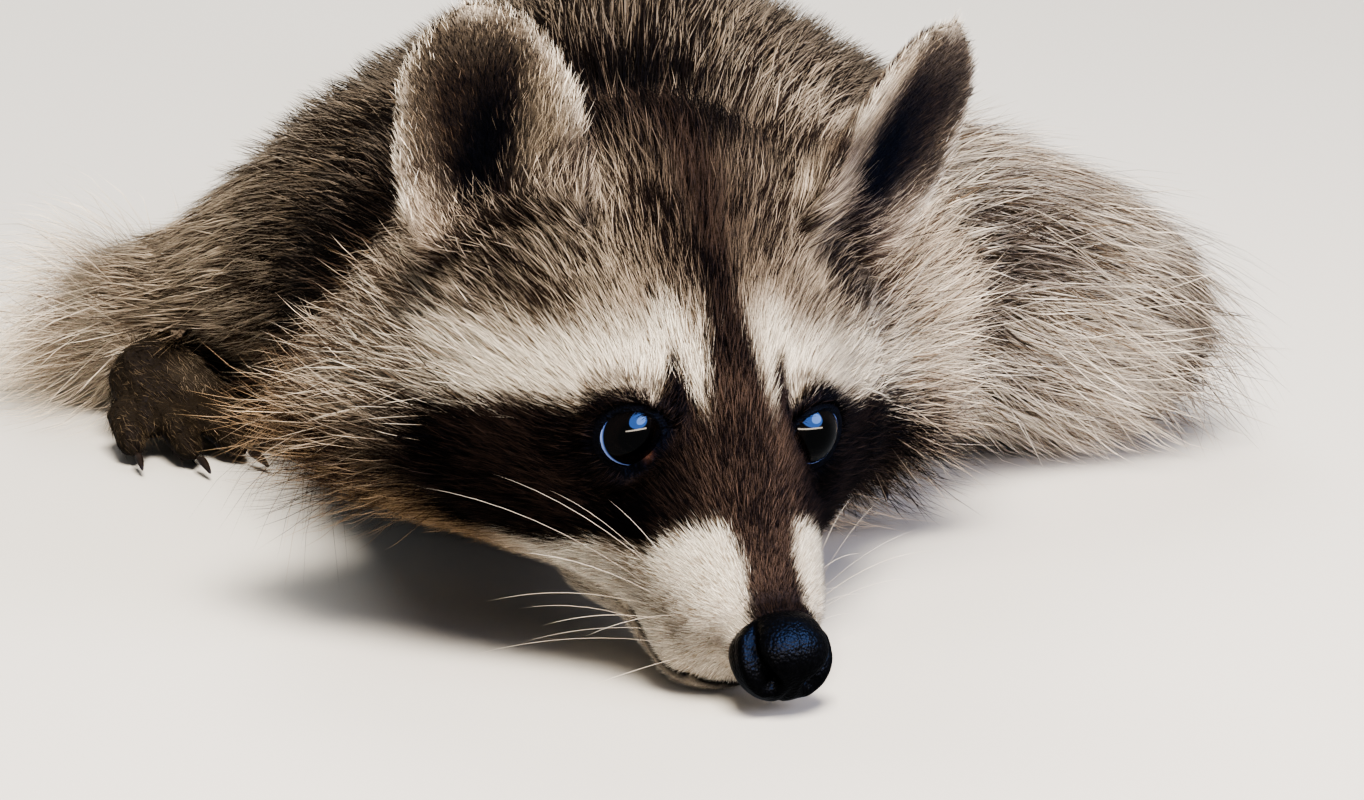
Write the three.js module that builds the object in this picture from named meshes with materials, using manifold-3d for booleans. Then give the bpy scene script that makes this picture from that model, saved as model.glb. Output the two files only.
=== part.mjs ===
// A raccoon lying on its belly with its chin on the ground, life size, as a museum shows it.
// Millimetres, +Z up, nose towards -Y, so the animal's left side is towards +X. The solids reach to the
// tips of the coat. Each named part is one closed solid, and neighbours keep a thin gap.
import * as THREE from "three";
import { mergeVertices } from "three/addons/utils/BufferGeometryUtils.js";
import Module from "manifold-3d";

const wasm = await Module();
wasm.setup();
const rad = THREE.MathUtils.degToRad;

// ---- driving dimensions ----
const GAP = 0.4; // between neighbouring solids
const NOSE_HEIGHT = 13.2; // nose tip above the ground, which leaves the chin resting on it
const HEAD_TURN = rad(23.7); // to the animal's left
const HEAD_DIP = rad(32.5); // nose down
const HEAD_LEAN = rad(8.4); // left cheek down
const EYE_RADIUS = 8.6;
const EYE = { out: 22, aside: 1.6, behind: 56.8, up: 12 }; // eyeball centre, from the nose tip
const EYE_TURN = rad(16); // each eye looks this far outwards
const EYE_LIFT = rad(24);
const LID_RADIUS = 7; // of the opening in front of each eye
const NOSE = { wide: 11.3, high: 10.3, deep: 9, centre: 2, drop: 1.6, aside: 2 };
const MUZZLE_BEND = 26; // how far back the muzzle's tip is turned aside with the nose
const EAR = { long: 54, root: 14, out: 42.5, behind: 106, up: 33.5 };
const EAR_TURN = rad(18); // the hollow faces forwards and outwards
const EAR_SPREAD = rad(24);
const EAR_LEAN = rad(7);
const CHEEK_ANGLE = rad(25); // the ruff stands out this far below the horizontal
const CHEEK_SPREAD = rad(40);
const NECK_END = 148; // the cut between neck and trunk, behind the nose
const TAIL_CUTS = [0.27, 0.5, 0.74]; // shares of the tail's length
const DIGITS = [-2, -1, 0, 1, 2]; // from the thumb's side

// ---- profiles ----
// Head, in its own frame: distance behind the nose tip, centre height, half width, height above and
// depth below the centre, cheek fur, and how square the top is (2 is round).
const HEAD = [
  [3, -1, 9.5, 8, 9, 0, 2.2],
  [12, -3, 15.5, 11.5, 14.5, 0, 2.2],
  [24, -3, 20.5, 17.5, 19, 0, 2],
  [38, -2, 26, 25, 26, 3, 1.8],
  [53, 0, 33, 31, 37, 13, 1.6],
  [68, 2, 41, 36, 48, 23, 1.7],
  [85, 4, 48, 41, 57, 30, 1.9],
  [102, 5, 51, 47, 64, 33, 2],
  [119, 6, 49, 48, 62, 28, 2],
  [134, 6, 42, 42, 54, 18, 2],
  [143, 6, 34, 34, 44, 10, 2],
];
// Lower jaw, in the head's frame: x, y, z of the centre, half width, above, below.
const JAW = [
  [1.5, 12, -18.5, 8, 3.5, 4],
  [0.8, 24, -22.5, 13, 5, 5.5],
  [0, 38, -28, 18, 6, 8],
  [0, 54, -35, 24, 8, 10],
  [0, 70, -42, 28, 9, 12],
];
// Neck and trunk: x, y, z of the centre, half width, above, below.
const BODY = [
  [-27, 84, 72, 50, 40, 46],
  [-29, 116, 66, 80, 56, 58],
  [-32, 150, 62, 90, 71, 64],
  [-34, 192, 60, 91, 75, 66],
  [-35, 245, 58, 90, 68, 66],
  [-36, 300, 56, 96, 60, 64],
  [-38, 352, 52, 96, 55, 60],
  [-40, 398, 46, 84, 49, 52],
  [-41, 434, 41, 58, 35, 42],
  [-42, 462, 37, 38, 24, 36],
];
const TAIL = [
  [-41, 430, 37, 25, 20, 24],
  [-43, 462, 33, 29, 25, 34],
  [-52, 508, 31, 33, 29, 33],
  [-64, 563, 31, 35, 29, 33],
  [-68, 620, 30, 33, 27, 32],
  [-62, 664, 26, 24, 20, 28],
  [-58, 680, 23, 14, 13, 20],
];
// Limbs: each is a list of centres with the half width and half height of the coat there.
const ARM = {
  r: {
    upper: [
      [-66, 206, 72, 34, 36],
      [-98, 218, 56, 38, 40],
      [-130, 248, 36, 31, 33],
      [-154, 286, 24, 24, 24],
    ],
    fore: [
      [-162, 308, 18, 19, 18],
      [-170, 284, 20, 21, 21],
      [-170, 258, 21, 20, 21],
      [-163, 237, 20, 14, 14],
    ],
    hand: { x: -163, y: 236, turn: rad(40) },
  },
  l: {
    upper: [
      [14, 202, 66, 34, 38],
      [48, 208, 50, 38, 42],
      [84, 222, 35, 36, 38],
      [106, 252, 24, 26, 27],
    ],
    fore: [
      [110, 276, 20, 22, 20],
      [84, 252, 24, 23, 24],
      [52, 230, 23, 20, 22],
      [20, 213, 21, 14, 14],
    ],
    hand: { x: 19, y: 212, turn: rad(-20) },
  },
};
const MIDLINE = -38; // x of the body's middle at the hind legs
const KNEE_OUT = 92;
const legPath = (side, rows) => rows.map(([out, ...rest]) => [MIDLINE + side * out, ...rest]);
const THIGH = [
  [48, 394, 40, 32, 36],
  [66, 368, 37, 38, 36],
  [82, 342, 32, 36, 33],
  [KNEE_OUT, 320, 28, 27, 28],
];
const SHANK = [
  [KNEE_OUT, 318, 30, 24, 27],
  [98, 344, 27, 22, 23],
  [102, 374, 23, 18, 19],
  [102, 400, 19, 14, 15],
];
const FOOT_PLACE = { out: 102, y: 402, turn: rad(4) };
// wrist: how high its middle is; step and fan: how far apart the digits leave the palm, and spread.
const HAND = { wrist: 22, palm: 26, wide: 15, thick: 10, digit: 27, girth: 4.6, fan: rad(13), step: 7 };
const FOOT = { wrist: 18, palm: 66, wide: 17, thick: 12, digit: 27, girth: 5, fan: rad(9), step: 7.4 };
const CLAW = { long: 10, girth: 2.1 };

// ---- colours ----
const paint = (color, roughness) => new THREE.MeshStandardMaterial({ color, roughness, metalness: 0 });
const GREY_COAT = paint(0x8b8178, 0.9);
const PALE_COAT = paint(0xb5aa9b, 0.9);
const DARK_COAT = paint(0x3a322d, 0.9);
const BARE_SKIN = paint(0x2b2523, 0.6);
const WET_NOSE = paint(0x0d0d10, 0.25);
const EYE_GLOSS = paint(0x0a0807, 0.05);
const HORN = paint(0x2e2622, 0.4);

// ---- shape helpers ----
// The value of one column of a table of stations, smoothly, at share t of its length.
function track(rows, k) {
  const curve = new THREE.SplineCurve(rows.map((row, i) => new THREE.Vector2(i, row[k])));
  return (t) => curve.getPoint(t).y;
}

// A closed surface on a sphere's grid: point(s, a) places share s of the length at angle a round it.
function warp(around, along, point) {
  const geometry = new THREE.SphereGeometry(1, around, along);
  const { uv, position } = geometry.attributes;
  for (let i = 0; i < position.count; i++) {
    const column = Math.round(uv.getX(i) * around) % around;
    const p = point(1 - uv.getY(i), (column / around) * 2 * Math.PI);
    position.setXYZ(i, p.x, p.y, p.z);
  }
  return geometry;
}

const power = (v, n) => Math.sign(v) * Math.abs(v) ** (2 / n);

// 0 at the ends, rising to 1 over the share c of the length, like the end of an egg.
function bluntness(s, c) {
  const near = Math.min(s, 1 - s);
  return near >= c ? 1 : Math.sqrt(Math.max(0, 1 - (1 - near / c) ** 2));
}

// An egg-ended tube through stations of x, y, z, half width, above and (optionally) below.
function loft(stations, { around = 10, along = 7, blunt = 0.22, shape = 2, under = 2 } = {}) {
  const line = new THREE.CatmullRomCurve3(stations.map(([x, y, z]) => new THREE.Vector3(x, y, z)));
  const [wide, above] = [track(stations, 3), track(stations, 4)];
  const below = track(stations, stations[0].length > 5 ? 5 : 4);
  return (grow) =>
    warp(around, along, (s, a) => {
      const forward = line.getTangent(s);
      const side = new THREE.Vector3(0, 0, 1).cross(forward).negate().normalize();
      const up = side.clone().cross(forward);
      const full = bluntness(s, blunt);
      const upper = Math.sin(a) > 0;
      const round = upper ? shape : under;
      const across = (wide(s) * full + grow) * power(Math.cos(a), round);
      const height = (upper ? above(s) : below(s)) * full + grow;
      const end = s === 0 || s === 1 ? 0 : 1;
      return line
        .getPoint(s)
        .addScaledVector(side, across * end)
        .addScaledVector(up, height * power(Math.sin(a), round) * end)
        .addScaledVector(forward, grow * (2 * s - 1));
    });
}

// A mesh's geometry as a solid, seen from another object's frame.
function solidOf(geometry, from, to) {
  const bare = new THREE.BufferGeometry().setIndex(geometry.index);
  bare.setAttribute("position", geometry.attributes.position);
  const world = bare.clone().applyMatrix4(to.matrixWorld.clone().invert().multiply(from.matrixWorld));
  const merged = mergeVertices(world, 1e-4);
  return new wasm.Manifold(
    new wasm.Mesh({
      numProp: 3,
      vertProperties: merged.attributes.position.array,
      triVerts: new Uint32Array(merged.index.array),
    }),
  );
}

function geometryOf(solid) {
  const { vertProperties, triVerts } = solid.getMesh();
  const geometry = new THREE.BufferGeometry();
  geometry.setAttribute("position", new THREE.BufferAttribute(new Float32Array(vertProperties), 3));
  return geometry.setIndex(new THREE.BufferAttribute(new Uint32Array(triVerts), 1));
}

const HERE = new THREE.Object3D();

// One shape from several that overlap, each a function of how much it is grown.
const joined = (shapes) => (grow) =>
  geometryOf(shapes.map((shape) => solidOf(shape(grow), HERE, HERE)).reduce((a, b) => a.add(b)));

const raccoon = new THREE.Group();

function part(name, material, shape, parent = raccoon) {
  const mesh = new THREE.Mesh(shape(0), material);
  mesh.name = name;
  mesh.userData.shape = shape;
  parent.add(mesh);
  return mesh;
}

// Cuts each cutter, grown by the gap, out of the part, and keeps the largest piece.
function trim(mesh, ...cutters) {
  raccoon.updateMatrixWorld(true);
  let solid = solidOf(mesh.geometry, mesh, mesh);
  for (const cutter of cutters) {
    solid = solid.subtract(solidOf(cutter.userData.shape(GAP), cutter, mesh));
  }
  const pieces = solid.decompose().sort((a, b) => b.volume() - a.volume());
  mesh.geometry = geometryOf(pieces[0]);
}

function placed(parent, x, y, z) {
  const group = new THREE.Group();
  group.position.set(x, y, z);
  parent.add(group);
  return group;
}

// ---- head ----
const head = placed(raccoon, 0, 0, NOSE_HEIGHT);
head.rotation.set(HEAD_DIP, HEAD_LEAN, HEAD_TURN, "ZXY");

// How far the coat is pressed in round each eye and out over each whisker pad.
const HOLLOWS = [
  { out: 27, behind: 51, up: 17, depth: 4, reach: 12 },
  { out: 17, behind: 17, up: -8, depth: -2, reach: 9 },
];

function headShape(grow) {
  const [behind, centre, wide, above, below, cheek, top] = HEAD[0].map((_, k) => track(HEAD, k));
  return warp(24, 18, (s, a) => {
    const full = bluntness(s, 0.1);
    const end = s === 0 || s === 1 ? 0 : 1;
    const upper = Math.sin(a) > 0;
    const round = upper ? top(s) : 2;
    const sideways = Math.sign(Math.cos(a));
    const off = Math.atan2(Math.sin(a), Math.abs(Math.cos(a))) + CHEEK_ANGLE;
    const ruff = cheek(s) * Math.exp(-((off / CHEEK_SPREAD) ** 2)) * full;
    const p = new THREE.Vector3(
      (wide(s) * full + grow) * power(Math.cos(a), round) + sideways * ruff * Math.cos(CHEEK_ANGLE),
      behind(s) + grow * (2 * s - 1),
      centre(s) + ((upper ? above(s) : below(s)) * full + grow) * power(Math.sin(a), round),
    );
    p.z -= ruff * Math.sin(CHEEK_ANGLE);
    for (const { out, behind: y, up, depth, reach } of HOLLOWS) {
      const near = Math.hypot(Math.abs(p.x) - out, p.y - y, p.z - up) / reach;
      p.x -= sideways * depth * Math.exp(-near * near);
    }
    const bent = NOSE.aside * Math.exp(-((Math.max(p.y, 0) / MUZZLE_BEND) ** 2));
    return new THREE.Vector3(p.x * end + bent, p.y, end ? p.z : centre(s));
  });
}

function noseShape(grow) {
  return warp(12, 8, (s, a) => {
    const lat = (s - 0.5) * Math.PI;
    const ring = Math.cos(lat);
    const x = (NOSE.wide + grow) * ring * power(Math.cos(a), 2.3);
    const z = (NOSE.high + grow) * ring * power(Math.sin(a), 2.3);
    const y = NOSE.centre + (NOSE.deep + grow) * power(Math.sin(lat), 2.4);
    const nostril = Math.hypot(Math.abs(x) - 5, z + 1) / 3;
    const front = s < 0.5 ? 1 : 0;
    const pit = front * 2.5 * Math.exp(-nostril * nostril);
    return new THREE.Vector3(x + NOSE.aside, y + pit, z - NOSE.drop);
  });
}

// The ear from root to tip: half width, half thickness, radius of the bend.
const EAR_SIZES = [
  [20, 4.6, 24],
  [23.5, 4.2, 26],
  [24.5, 3.6, 30],
  [22.5, 3.3, 35],
  [18.5, 3, 40],
  [13, 2.8, 46],
];

// A leaf bent into a trough: wide at the root, round at the tip, with its edges turned forwards.
function earShape(grow) {
  const [wide, thick, curl] = EAR_SIZES[0].map((_, k) => track(EAR_SIZES, k));
  return warp(12, 9, (s, a) => {
    const full = s < 0.5 ? bluntness(s, 0.06) : bluntness(s, 0.3);
    const across = (wide(s) * full + grow) * Math.cos(a);
    const depth = (thick(s) * Math.min(1, full * 1.5) + grow) * Math.sin(-a);
    const turn = across / curl(s);
    const radius = curl(s) + depth;
    const end = s === 0 || s === 1 ? 0 : 1;
    return new THREE.Vector3(
      radius * Math.sin(turn) * end,
      end * (radius * Math.cos(turn) - curl(s)),
      -EAR.root + s * (EAR.long + EAR.root) + grow * (2 * s - 1),
    );
  });
}

const eyeShape = (grow) => new THREE.SphereGeometry(EYE_RADIUS + grow, 12, 8);
const socketShape = joined([
  (grow) => new THREE.SphereGeometry(EYE_RADIUS + grow, 12, 8),
  () => new THREE.CylinderGeometry(LID_RADIUS, LID_RADIUS, 12, 8).rotateX(Math.PI / 2).translate(0, -9, 0),
]);

const skull = part("head", GREY_COAT, headShape, head);
const jaw = part("jaw", PALE_COAT, loft(JAW, { around: 12, along: 8, blunt: 0.25 }), head);
const nose = part("nose", WET_NOSE, noseShape, head);
trim(jaw, nose);
trim(skull, nose, jaw);
const SIDES = [["l", 1], ["r", -1]];
const ears = [];
for (const [tag, side] of SIDES) {
  const orbit = placed(head, side * EYE.out + EYE.aside, EYE.behind, EYE.up);
  orbit.rotation.set(-EYE_LIFT, 0, side * EYE_TURN, "ZXY");
  part(`eye_${tag}`, EYE_GLOSS, eyeShape, orbit);
  const socket = new THREE.Object3D();
  socket.userData.shape = socketShape;
  orbit.add(socket);
  trim(skull, socket);
  const base = placed(head, side * EAR.out, EAR.behind, EAR.up);
  base.rotation.set(-EAR_LEAN, side * EAR_SPREAD, side * EAR_TURN, "ZXY");
  ears.push(part(`ear_${tag}`, DARK_COAT, earShape, base));
}
for (const ear of ears) trim(ear, skull);

// ---- hands and feet ----
// A paw on the ground: the wrist is above its own origin, and the digits point to -Y.
function pawShapes({ wrist, palm, wide, thick, ...size }) {
  const rows = [
    [0, 4, wrist, wide * 0.72, thick * 1.1],
    [0, -palm * 0.35, wrist * 0.72, wide * 0.9, thick],
    [0, -palm * 0.75, wrist * 0.45, wide * 1.05, thick * 0.85],
    [0, -palm - 6, wrist * 0.32, wide, thick * 0.7],
  ];
  const digit = (i) => loft(digitPath({ wrist, palm, ...size }, i), { around: 6, along: 4, blunt: 0.3 });
  return [loft(rows, { around: 9, along: 4, blunt: 0.2 }), ...DIGITS.map(digit)];
}

// Centres and girths of one digit, from inside the palm to its tip.
function digitPath({ wrist, palm, digit, girth, fan, step }, i) {
  const reach = digit * (1 - 0.07 * Math.abs(i) - (i === -2 ? 0.16 : 0));
  const start = palm - 4 - 2.2 * i * i;
  const row = (share, z, g) => {
    const far = start + reach * share;
    return [step * i + Math.sin(fan * i) * reach * share, -far, z, g, g];
  };
  return [
    row(-0.15, wrist * 0.36, girth * 1.1),
    row(0.35, wrist * 0.36 + 2, girth),
    row(0.75, girth * 1.25, girth * 0.9),
    row(1.05, girth * 0.72, girth * 0.72),
  ];
}

// A hooked claw that leaves the tip of a digit.
function clawShape(size, i) {
  const path = digitPath(size, i);
  const [x, y, z] = path[3];
  const heading = new THREE.Vector2(x - path[2][0], y - path[2][1]).normalize();
  const at = (far, drop, g) => [x + heading.x * far, y + heading.y * far, z - drop, g * 0.8, g];
  return loft(
    [
      at(-2, -0.6, CLAW.girth),
      at(CLAW.long * 0.35, -0.8, CLAW.girth * 0.8),
      at(CLAW.long * 0.7, 0.4, CLAW.girth * 0.5),
      at(CLAW.long, 2.2, CLAW.girth * 0.22),
    ],
    { around: 5, along: 3, blunt: 0.15 },
  );
}

// The room that a paw with its claws needs in the coat over it.
function pawRoom({ wrist, palm, wide, thick, digit, step }) {
  const spread = step * 2 + digit * 0.5;
  return loft(
    [
      [0, 14, wrist, wide * 0.94, thick * 1.4],
      [0, -palm * 0.5, wrist * 0.6, wide * 1.28, thick * 1.45],
      [0, -palm - digit * 0.3, wrist * 0.4, spread * 1.1, thick * 1.2],
      [0, -palm - digit - CLAW.long - 12, wrist * 0.25, spread * 1.3, thick * 1.2],
    ],
    { around: 8, along: 5, blunt: 0.12, shape: 3, under: 3 },
  );
}

function paw(kind, tag, size, x, y, turn) {
  const group = placed(raccoon, x, y, 0);
  group.rotation.z = turn;
  const mesh = part(`${kind}_${tag}`, BARE_SKIN, joined(pawShapes(size)), group);
  for (const i of DIGITS) {
    trim(part(`claw_${kind}_${tag}_${i + 3}`, HORN, clawShape(size, i), group), mesh);
  }
  const room = placed(group, 0, 0, 0);
  room.userData.shape = pawRoom(size);
  return { mesh, room };
}

// ---- limbs, body and tail ----
const body = loft(BODY, { around: 20, along: 15, blunt: 0.1, shape: 1.55, under: 2.6 });
const neck = part("neck", GREY_COAT, body);
const trunk = part("trunk", GREY_COAT, body);
const box = (w, d, h, x, y, z) => (grow) => new THREE.BoxGeometry(w, d + grow, h).translate(x, y, z);
const REACH = 2000;
function block(shape) {
  const cutter = new THREE.Object3D();
  cutter.userData.shape = shape;
  raccoon.add(cutter);
  return cutter;
}
const ground = block(box(REACH, REACH, REACH, 0, 0, -REACH / 2));
trim(neck, block(box(REACH, REACH, REACH, 0, NECK_END + REACH / 2, 0)));
trim(trunk, block(box(REACH, REACH, REACH, 0, NECK_END - REACH / 2, 0)));

for (const [tag, side] of SIDES) {
  const { upper, fore, hand } = ARM[tag];
  const palm = paw("hand", tag, HAND, hand.x, hand.y, hand.turn);
  const forearm = part(`forearm_${tag}`, GREY_COAT, loft(fore));
  const upperArm = part(`upper_arm_${tag}`, GREY_COAT, loft(upper));
  trim(forearm, palm.mesh);
  trim(upperArm, forearm, palm.room);
  const { out, y, turn } = FOOT_PLACE;
  const sole = paw("foot", tag, FOOT, MIDLINE + side * out, y, side * turn);
  const shank = part(`shank_${tag}`, GREY_COAT, loft(legPath(side, SHANK)));
  const thigh = part(`thigh_${tag}`, GREY_COAT, loft(legPath(side, THIGH)));
  trim(shank, sole.room);
  trim(thigh, shank, sole.room);
  trim(neck, palm.room, forearm, upperArm);
  trim(trunk, palm.room, forearm, upperArm, sole.room, shank, thigh);
}
trim(neck, skull, jaw);

const tail = loft(TAIL, { around: 12, along: 14, blunt: 0.12 });
const tailLine = new THREE.CatmullRomCurve3(TAIL.map(([x, y, z]) => new THREE.Vector3(x, y, z)));
const tailEnds = [-0.2, ...TAIL_CUTS, 1.2];
for (let i = 0; i + 1 < tailEnds.length; i++) {
  const length = part(`tail_${i + 1}`, i % 2 ? DARK_COAT : PALE_COAT, tail);
  for (const [share, way] of [[tailEnds[i], -1], [tailEnds[i + 1], 1]]) {
    if (share < 0 || share > 1) continue;
    const at = tailLine.getPoint(share);
    const along = tailLine.getTangent(share);
    const cutter = placed(raccoon, at.x, at.y, at.z);
    cutter.rotation.z = Math.atan2(-along.x, along.y);
    cutter.userData.shape = box(REACH, REACH, REACH, 0, (way * REACH) / 2, 0);
    trim(length, cutter);
  }
  if (i === 0) trim(length, trunk);
}

// ---- everything rests on the ground, and the origin is under the middle of it ----
const parts = [];
raccoon.traverse((o) => {
  if (o.isMesh) parts.push(o);
});
for (const mesh of parts) trim(mesh, ground);
raccoon.updateMatrixWorld(true);
const bounds = new THREE.Box3().setFromObject(raccoon, true);
const middle = bounds.getCenter(new THREE.Vector3());
raccoon.position.set(-middle.x, -middle.y, -bounds.min.z);

export default raccoon;
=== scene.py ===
# %% [markdown]
# A raccoon, life size, lying on its belly with its chin on the floor.
# The solids of the model come from the frame and reach out to the tips of the coat. This script makes
# one skin that lies under them by the depth of the coat, grows the coat on it as hundreds of thousands
# of thin closed locks, and then adds the eyes, nose and claws. Everything is in metres, with Z up and
# the animal facing -Y, so +X is its left side.

# %% Load the frame
import math

import bmesh
import bpy
import numpy as np
from mathutils import Matrix, Vector
from mathutils.bvhtree import BVHTree
from mathutils.kdtree import KDTree


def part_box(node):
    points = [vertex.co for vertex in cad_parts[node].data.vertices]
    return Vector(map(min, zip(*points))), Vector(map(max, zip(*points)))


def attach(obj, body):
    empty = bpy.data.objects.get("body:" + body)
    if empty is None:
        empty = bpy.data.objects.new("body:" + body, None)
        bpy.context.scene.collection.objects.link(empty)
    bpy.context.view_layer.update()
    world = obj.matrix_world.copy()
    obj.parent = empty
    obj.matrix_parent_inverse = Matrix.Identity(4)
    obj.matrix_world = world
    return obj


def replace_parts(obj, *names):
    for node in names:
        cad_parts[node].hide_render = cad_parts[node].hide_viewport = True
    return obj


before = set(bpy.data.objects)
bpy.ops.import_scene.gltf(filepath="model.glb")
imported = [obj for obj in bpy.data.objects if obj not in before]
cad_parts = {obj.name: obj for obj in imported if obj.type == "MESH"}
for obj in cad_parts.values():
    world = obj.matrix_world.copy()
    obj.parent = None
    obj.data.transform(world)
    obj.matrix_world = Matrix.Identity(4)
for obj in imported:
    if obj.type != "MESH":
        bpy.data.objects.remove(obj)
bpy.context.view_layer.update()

MM = 0.001
rng = np.random.default_rng(7)
print("nodes in the frame:", len(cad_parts))

# %% [markdown]
# ## The head's own frame
# The head is turned, dipped and leant, so its markings and folds are much easier to place in its own
# axes: x to the animal's left, y back from the tip of the nose, z up. The three angles are the head's
# pose, and the place comes from the two eyeballs in the frame, so the two can't drift apart.

# %% Head frame
HEAD_TURN = math.radians(23.7)
HEAD_DIP = math.radians(32.5)
HEAD_LEAN = math.radians(8.4)
EYES_MIDDLE = Vector((1.6, 56.8, 12)) * MM  # between the eyeballs, from the nose tip
EYE_TURN = math.radians(16)
EYE_LIFT = math.radians(24)
EAR_ROOT = Vector((42.5, 106, 33.5)) * MM  # of the left ear
EAR_TURN, EAR_SPREAD, EAR_LEAN = math.radians(18), math.radians(24), math.radians(7)
SIDES = (("l", 1), ("r", -1))


def turned(z, x, y):
    """A turn about Z, then X, then Y, each in the axes that the one before leaves."""
    return Matrix.Rotation(z, 3, "Z") @ Matrix.Rotation(x, 3, "X") @ Matrix.Rotation(y, 3, "Y")


def middle(node):
    low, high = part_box(node)
    return (low + high) / 2


head_axes = turned(HEAD_TURN, HEAD_DIP, HEAD_LEAN)
nose_tip = (middle("eye_l") + middle("eye_r")) / 2 - head_axes @ EYES_MIDDLE
HEAD = np.array(head_axes)
NOSE_TIP = np.array(nose_tip)


def to_head(points):
    """World points in metres, as millimetres in the head's frame."""
    return (points - NOSE_TIP) @ HEAD / MM


def from_head(points):
    """Millimetres in the head's frame, as world points in metres."""
    return NOSE_TIP + (np.asarray(points, float) * MM) @ HEAD.T


print("nose tip at", [round(v / MM, 1) for v in nose_tip], "mm")

# %% [markdown]
# ## Small tools
# Smooth steps and lookups keep the markings short to write. `hex_colour` turns the given sRGB colours
# into the linear numbers that Blender's shaders use.

# %% Number and colour helpers
def smooth(value, start, end):
    """0 below start, 1 above end, and an S-curve between them."""
    t = np.clip((value - start) / (end - start), 0, 1)
    return t * t * (3 - 2 * t)


def fade(value, start, end):
    """1 below start, 0 above end, and the same curve between them."""
    return 1 - smooth(value, start, end)


def unit(vectors):
    return vectors / np.maximum(np.linalg.norm(vectors, axis=1, keepdims=True), 1e-12)


def hex_colour(code):
    """sRGB hex, as linear red, green and blue."""
    values = [int(code[i : i + 2], 16) / 255 for i in (1, 3, 5)]
    return [v / 12.92 if v <= 0.04045 else ((v + 0.055) / 1.055) ** 2.4 for v in values]


# %% [markdown]
# ## The skin's shape
# A real skin is one sheet over the whole body. Every solid of flesh is copied, merged and grown by a
# hair's breadth, so that neighbours touch, and a voxel remesh then melts them into one closed surface.
# The eyeballs are melted in too: the lids are shaped over them later. The head keeps the remesh's
# fine grid, and the body, which the coat hides, is thinned.

# %% Melt the solids into one surface
BARE = ("nose", "eye_", "claw_")
FLESH = sorted(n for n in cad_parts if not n.startswith(BARE))
MELT_GROW = 0.45 * MM
VOXEL = 1.7 * MM
SAME_PLACE = 0.01 * MM


def placed(name, data):
    """An object for a mesh, a lamp or a camera, in the scene."""
    ob = bpy.data.objects.new(name, data)
    bpy.context.collection.objects.link(ob)
    return ob


def as_mesh(bm, name):
    """A mesh from a bmesh, which is freed."""
    me = bpy.data.meshes.new(name)
    bm.to_mesh(me)
    bm.free()
    return me


def joined(name, nodes, grow=0.0):
    """The solids of some nodes as one mesh, with their loose triangles merged and each grown a little."""
    whole = bmesh.new()
    for node in nodes:
        bm = bmesh.new()
        bm.from_mesh(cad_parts[node].data)
        bmesh.ops.remove_doubles(bm, verts=bm.verts, dist=SAME_PLACE)
        bm.normal_update()
        for v in bm.verts:
            v.co += v.normal * grow
        part = as_mesh(bm, "part")
        whole.from_mesh(part)
        bpy.data.meshes.remove(part)
    return as_mesh(whole, name)


def melted(nodes):
    ob = placed("solids", joined("solids", nodes, MELT_GROW))
    remesh = ob.modifiers.new("melt", "REMESH")
    remesh.mode = "VOXEL"
    remesh.voxel_size = VOXEL
    return ob


def finished_mesh(ob, name):
    """The object's mesh with its modifiers applied, and the object removed."""
    graph = bpy.context.evaluated_depsgraph_get()
    me = bpy.data.meshes.new_from_object(ob.evaluated_get(graph))
    me.name = name
    bpy.data.objects.remove(ob)
    return me


def numbers(items, key, size, kind=float):
    """One property of each item, as the rows of an array."""
    values = np.empty(len(items) * size, kind)
    items.foreach_get(key, values)
    return values.reshape(-1, size)


def points_of(me):
    return numbers(me.vertices, "co", 3)


def triangles_of(me):
    me.calc_loop_triangles()
    return numbers(me.loop_triangles, "vertices", 3, np.int64)


skin_mesh = finished_mesh(melted(FLESH + ["eye_l", "eye_r", "nose"]), "skin")
print("melted skin:", len(skin_mesh.polygons), "faces")

# %% [markdown]
# ## Which part each point of skin belongs to
# The depth of the coat, the way it lies and its colour all depend on the part of the body. Each
# point of the skin takes the name of the nearest solid.

# %% Label the skin by the nearest solid
def solids_tree(nodes):
    """All the solids' faces in one search tree, and the index of the node that owns each face."""
    points, faces, owner = [], [], []
    for k, node in enumerate(nodes):
        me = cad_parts[node].data
        start = len(points)
        points += [v.co.copy() for v in me.vertices]
        for p in me.polygons:
            faces.append([start + i for i in p.vertices])
            owner.append(k)
    return BVHTree.FromPolygons(points, faces), np.array(owner)


solid_tree, face_owner = solids_tree(FLESH)


def part_of(points):
    """The index in FLESH of the solid nearest each point."""
    return np.array([face_owner[solid_tree.find_nearest(Vector(p))[2]] for p in points])


def is_part(label, *starts):
    """True where a label names a part whose name starts with one of these."""
    wanted = [k for k, node in enumerate(FLESH) if node.startswith(starts)]
    return np.isin(label, wanted)


# %% Thin the body, keep the head and paws
FINE_TO, COARSE_FROM = 130, 150  # mm behind the nose tip
LEVELS = 3
SKIN_FACES = 150_000


def thinned(me):
    """Fewer faces where the coat is long. The head, hands and feet keep theirs."""
    ob = placed("skin", me)
    points = points_of(me)
    coarse = smooth(to_head(points)[:, 1], FINE_TO, COARSE_FROM)
    coarse[is_part(part_of(points), "hand", "foot")] = 0
    group = ob.vertex_groups.new(name="body")
    for level in range(1, LEVELS + 1):
        picked = np.nonzero(np.ceil(coarse * LEVELS) == level)[0]
        group.add(picked.tolist(), level / LEVELS, "REPLACE")
    thin = ob.modifiers.new("thin", "DECIMATE")
    thin.ratio = min(1.0, SKIN_FACES / len(triangles_of(me)))
    thin.vertex_group = group.name
    return finished_mesh(ob, "skin")


skin_mesh = thinned(skin_mesh)
skin_label = part_of(points_of(skin_mesh))
print("thinned skin:", len(skin_mesh.polygons), "faces")

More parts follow.
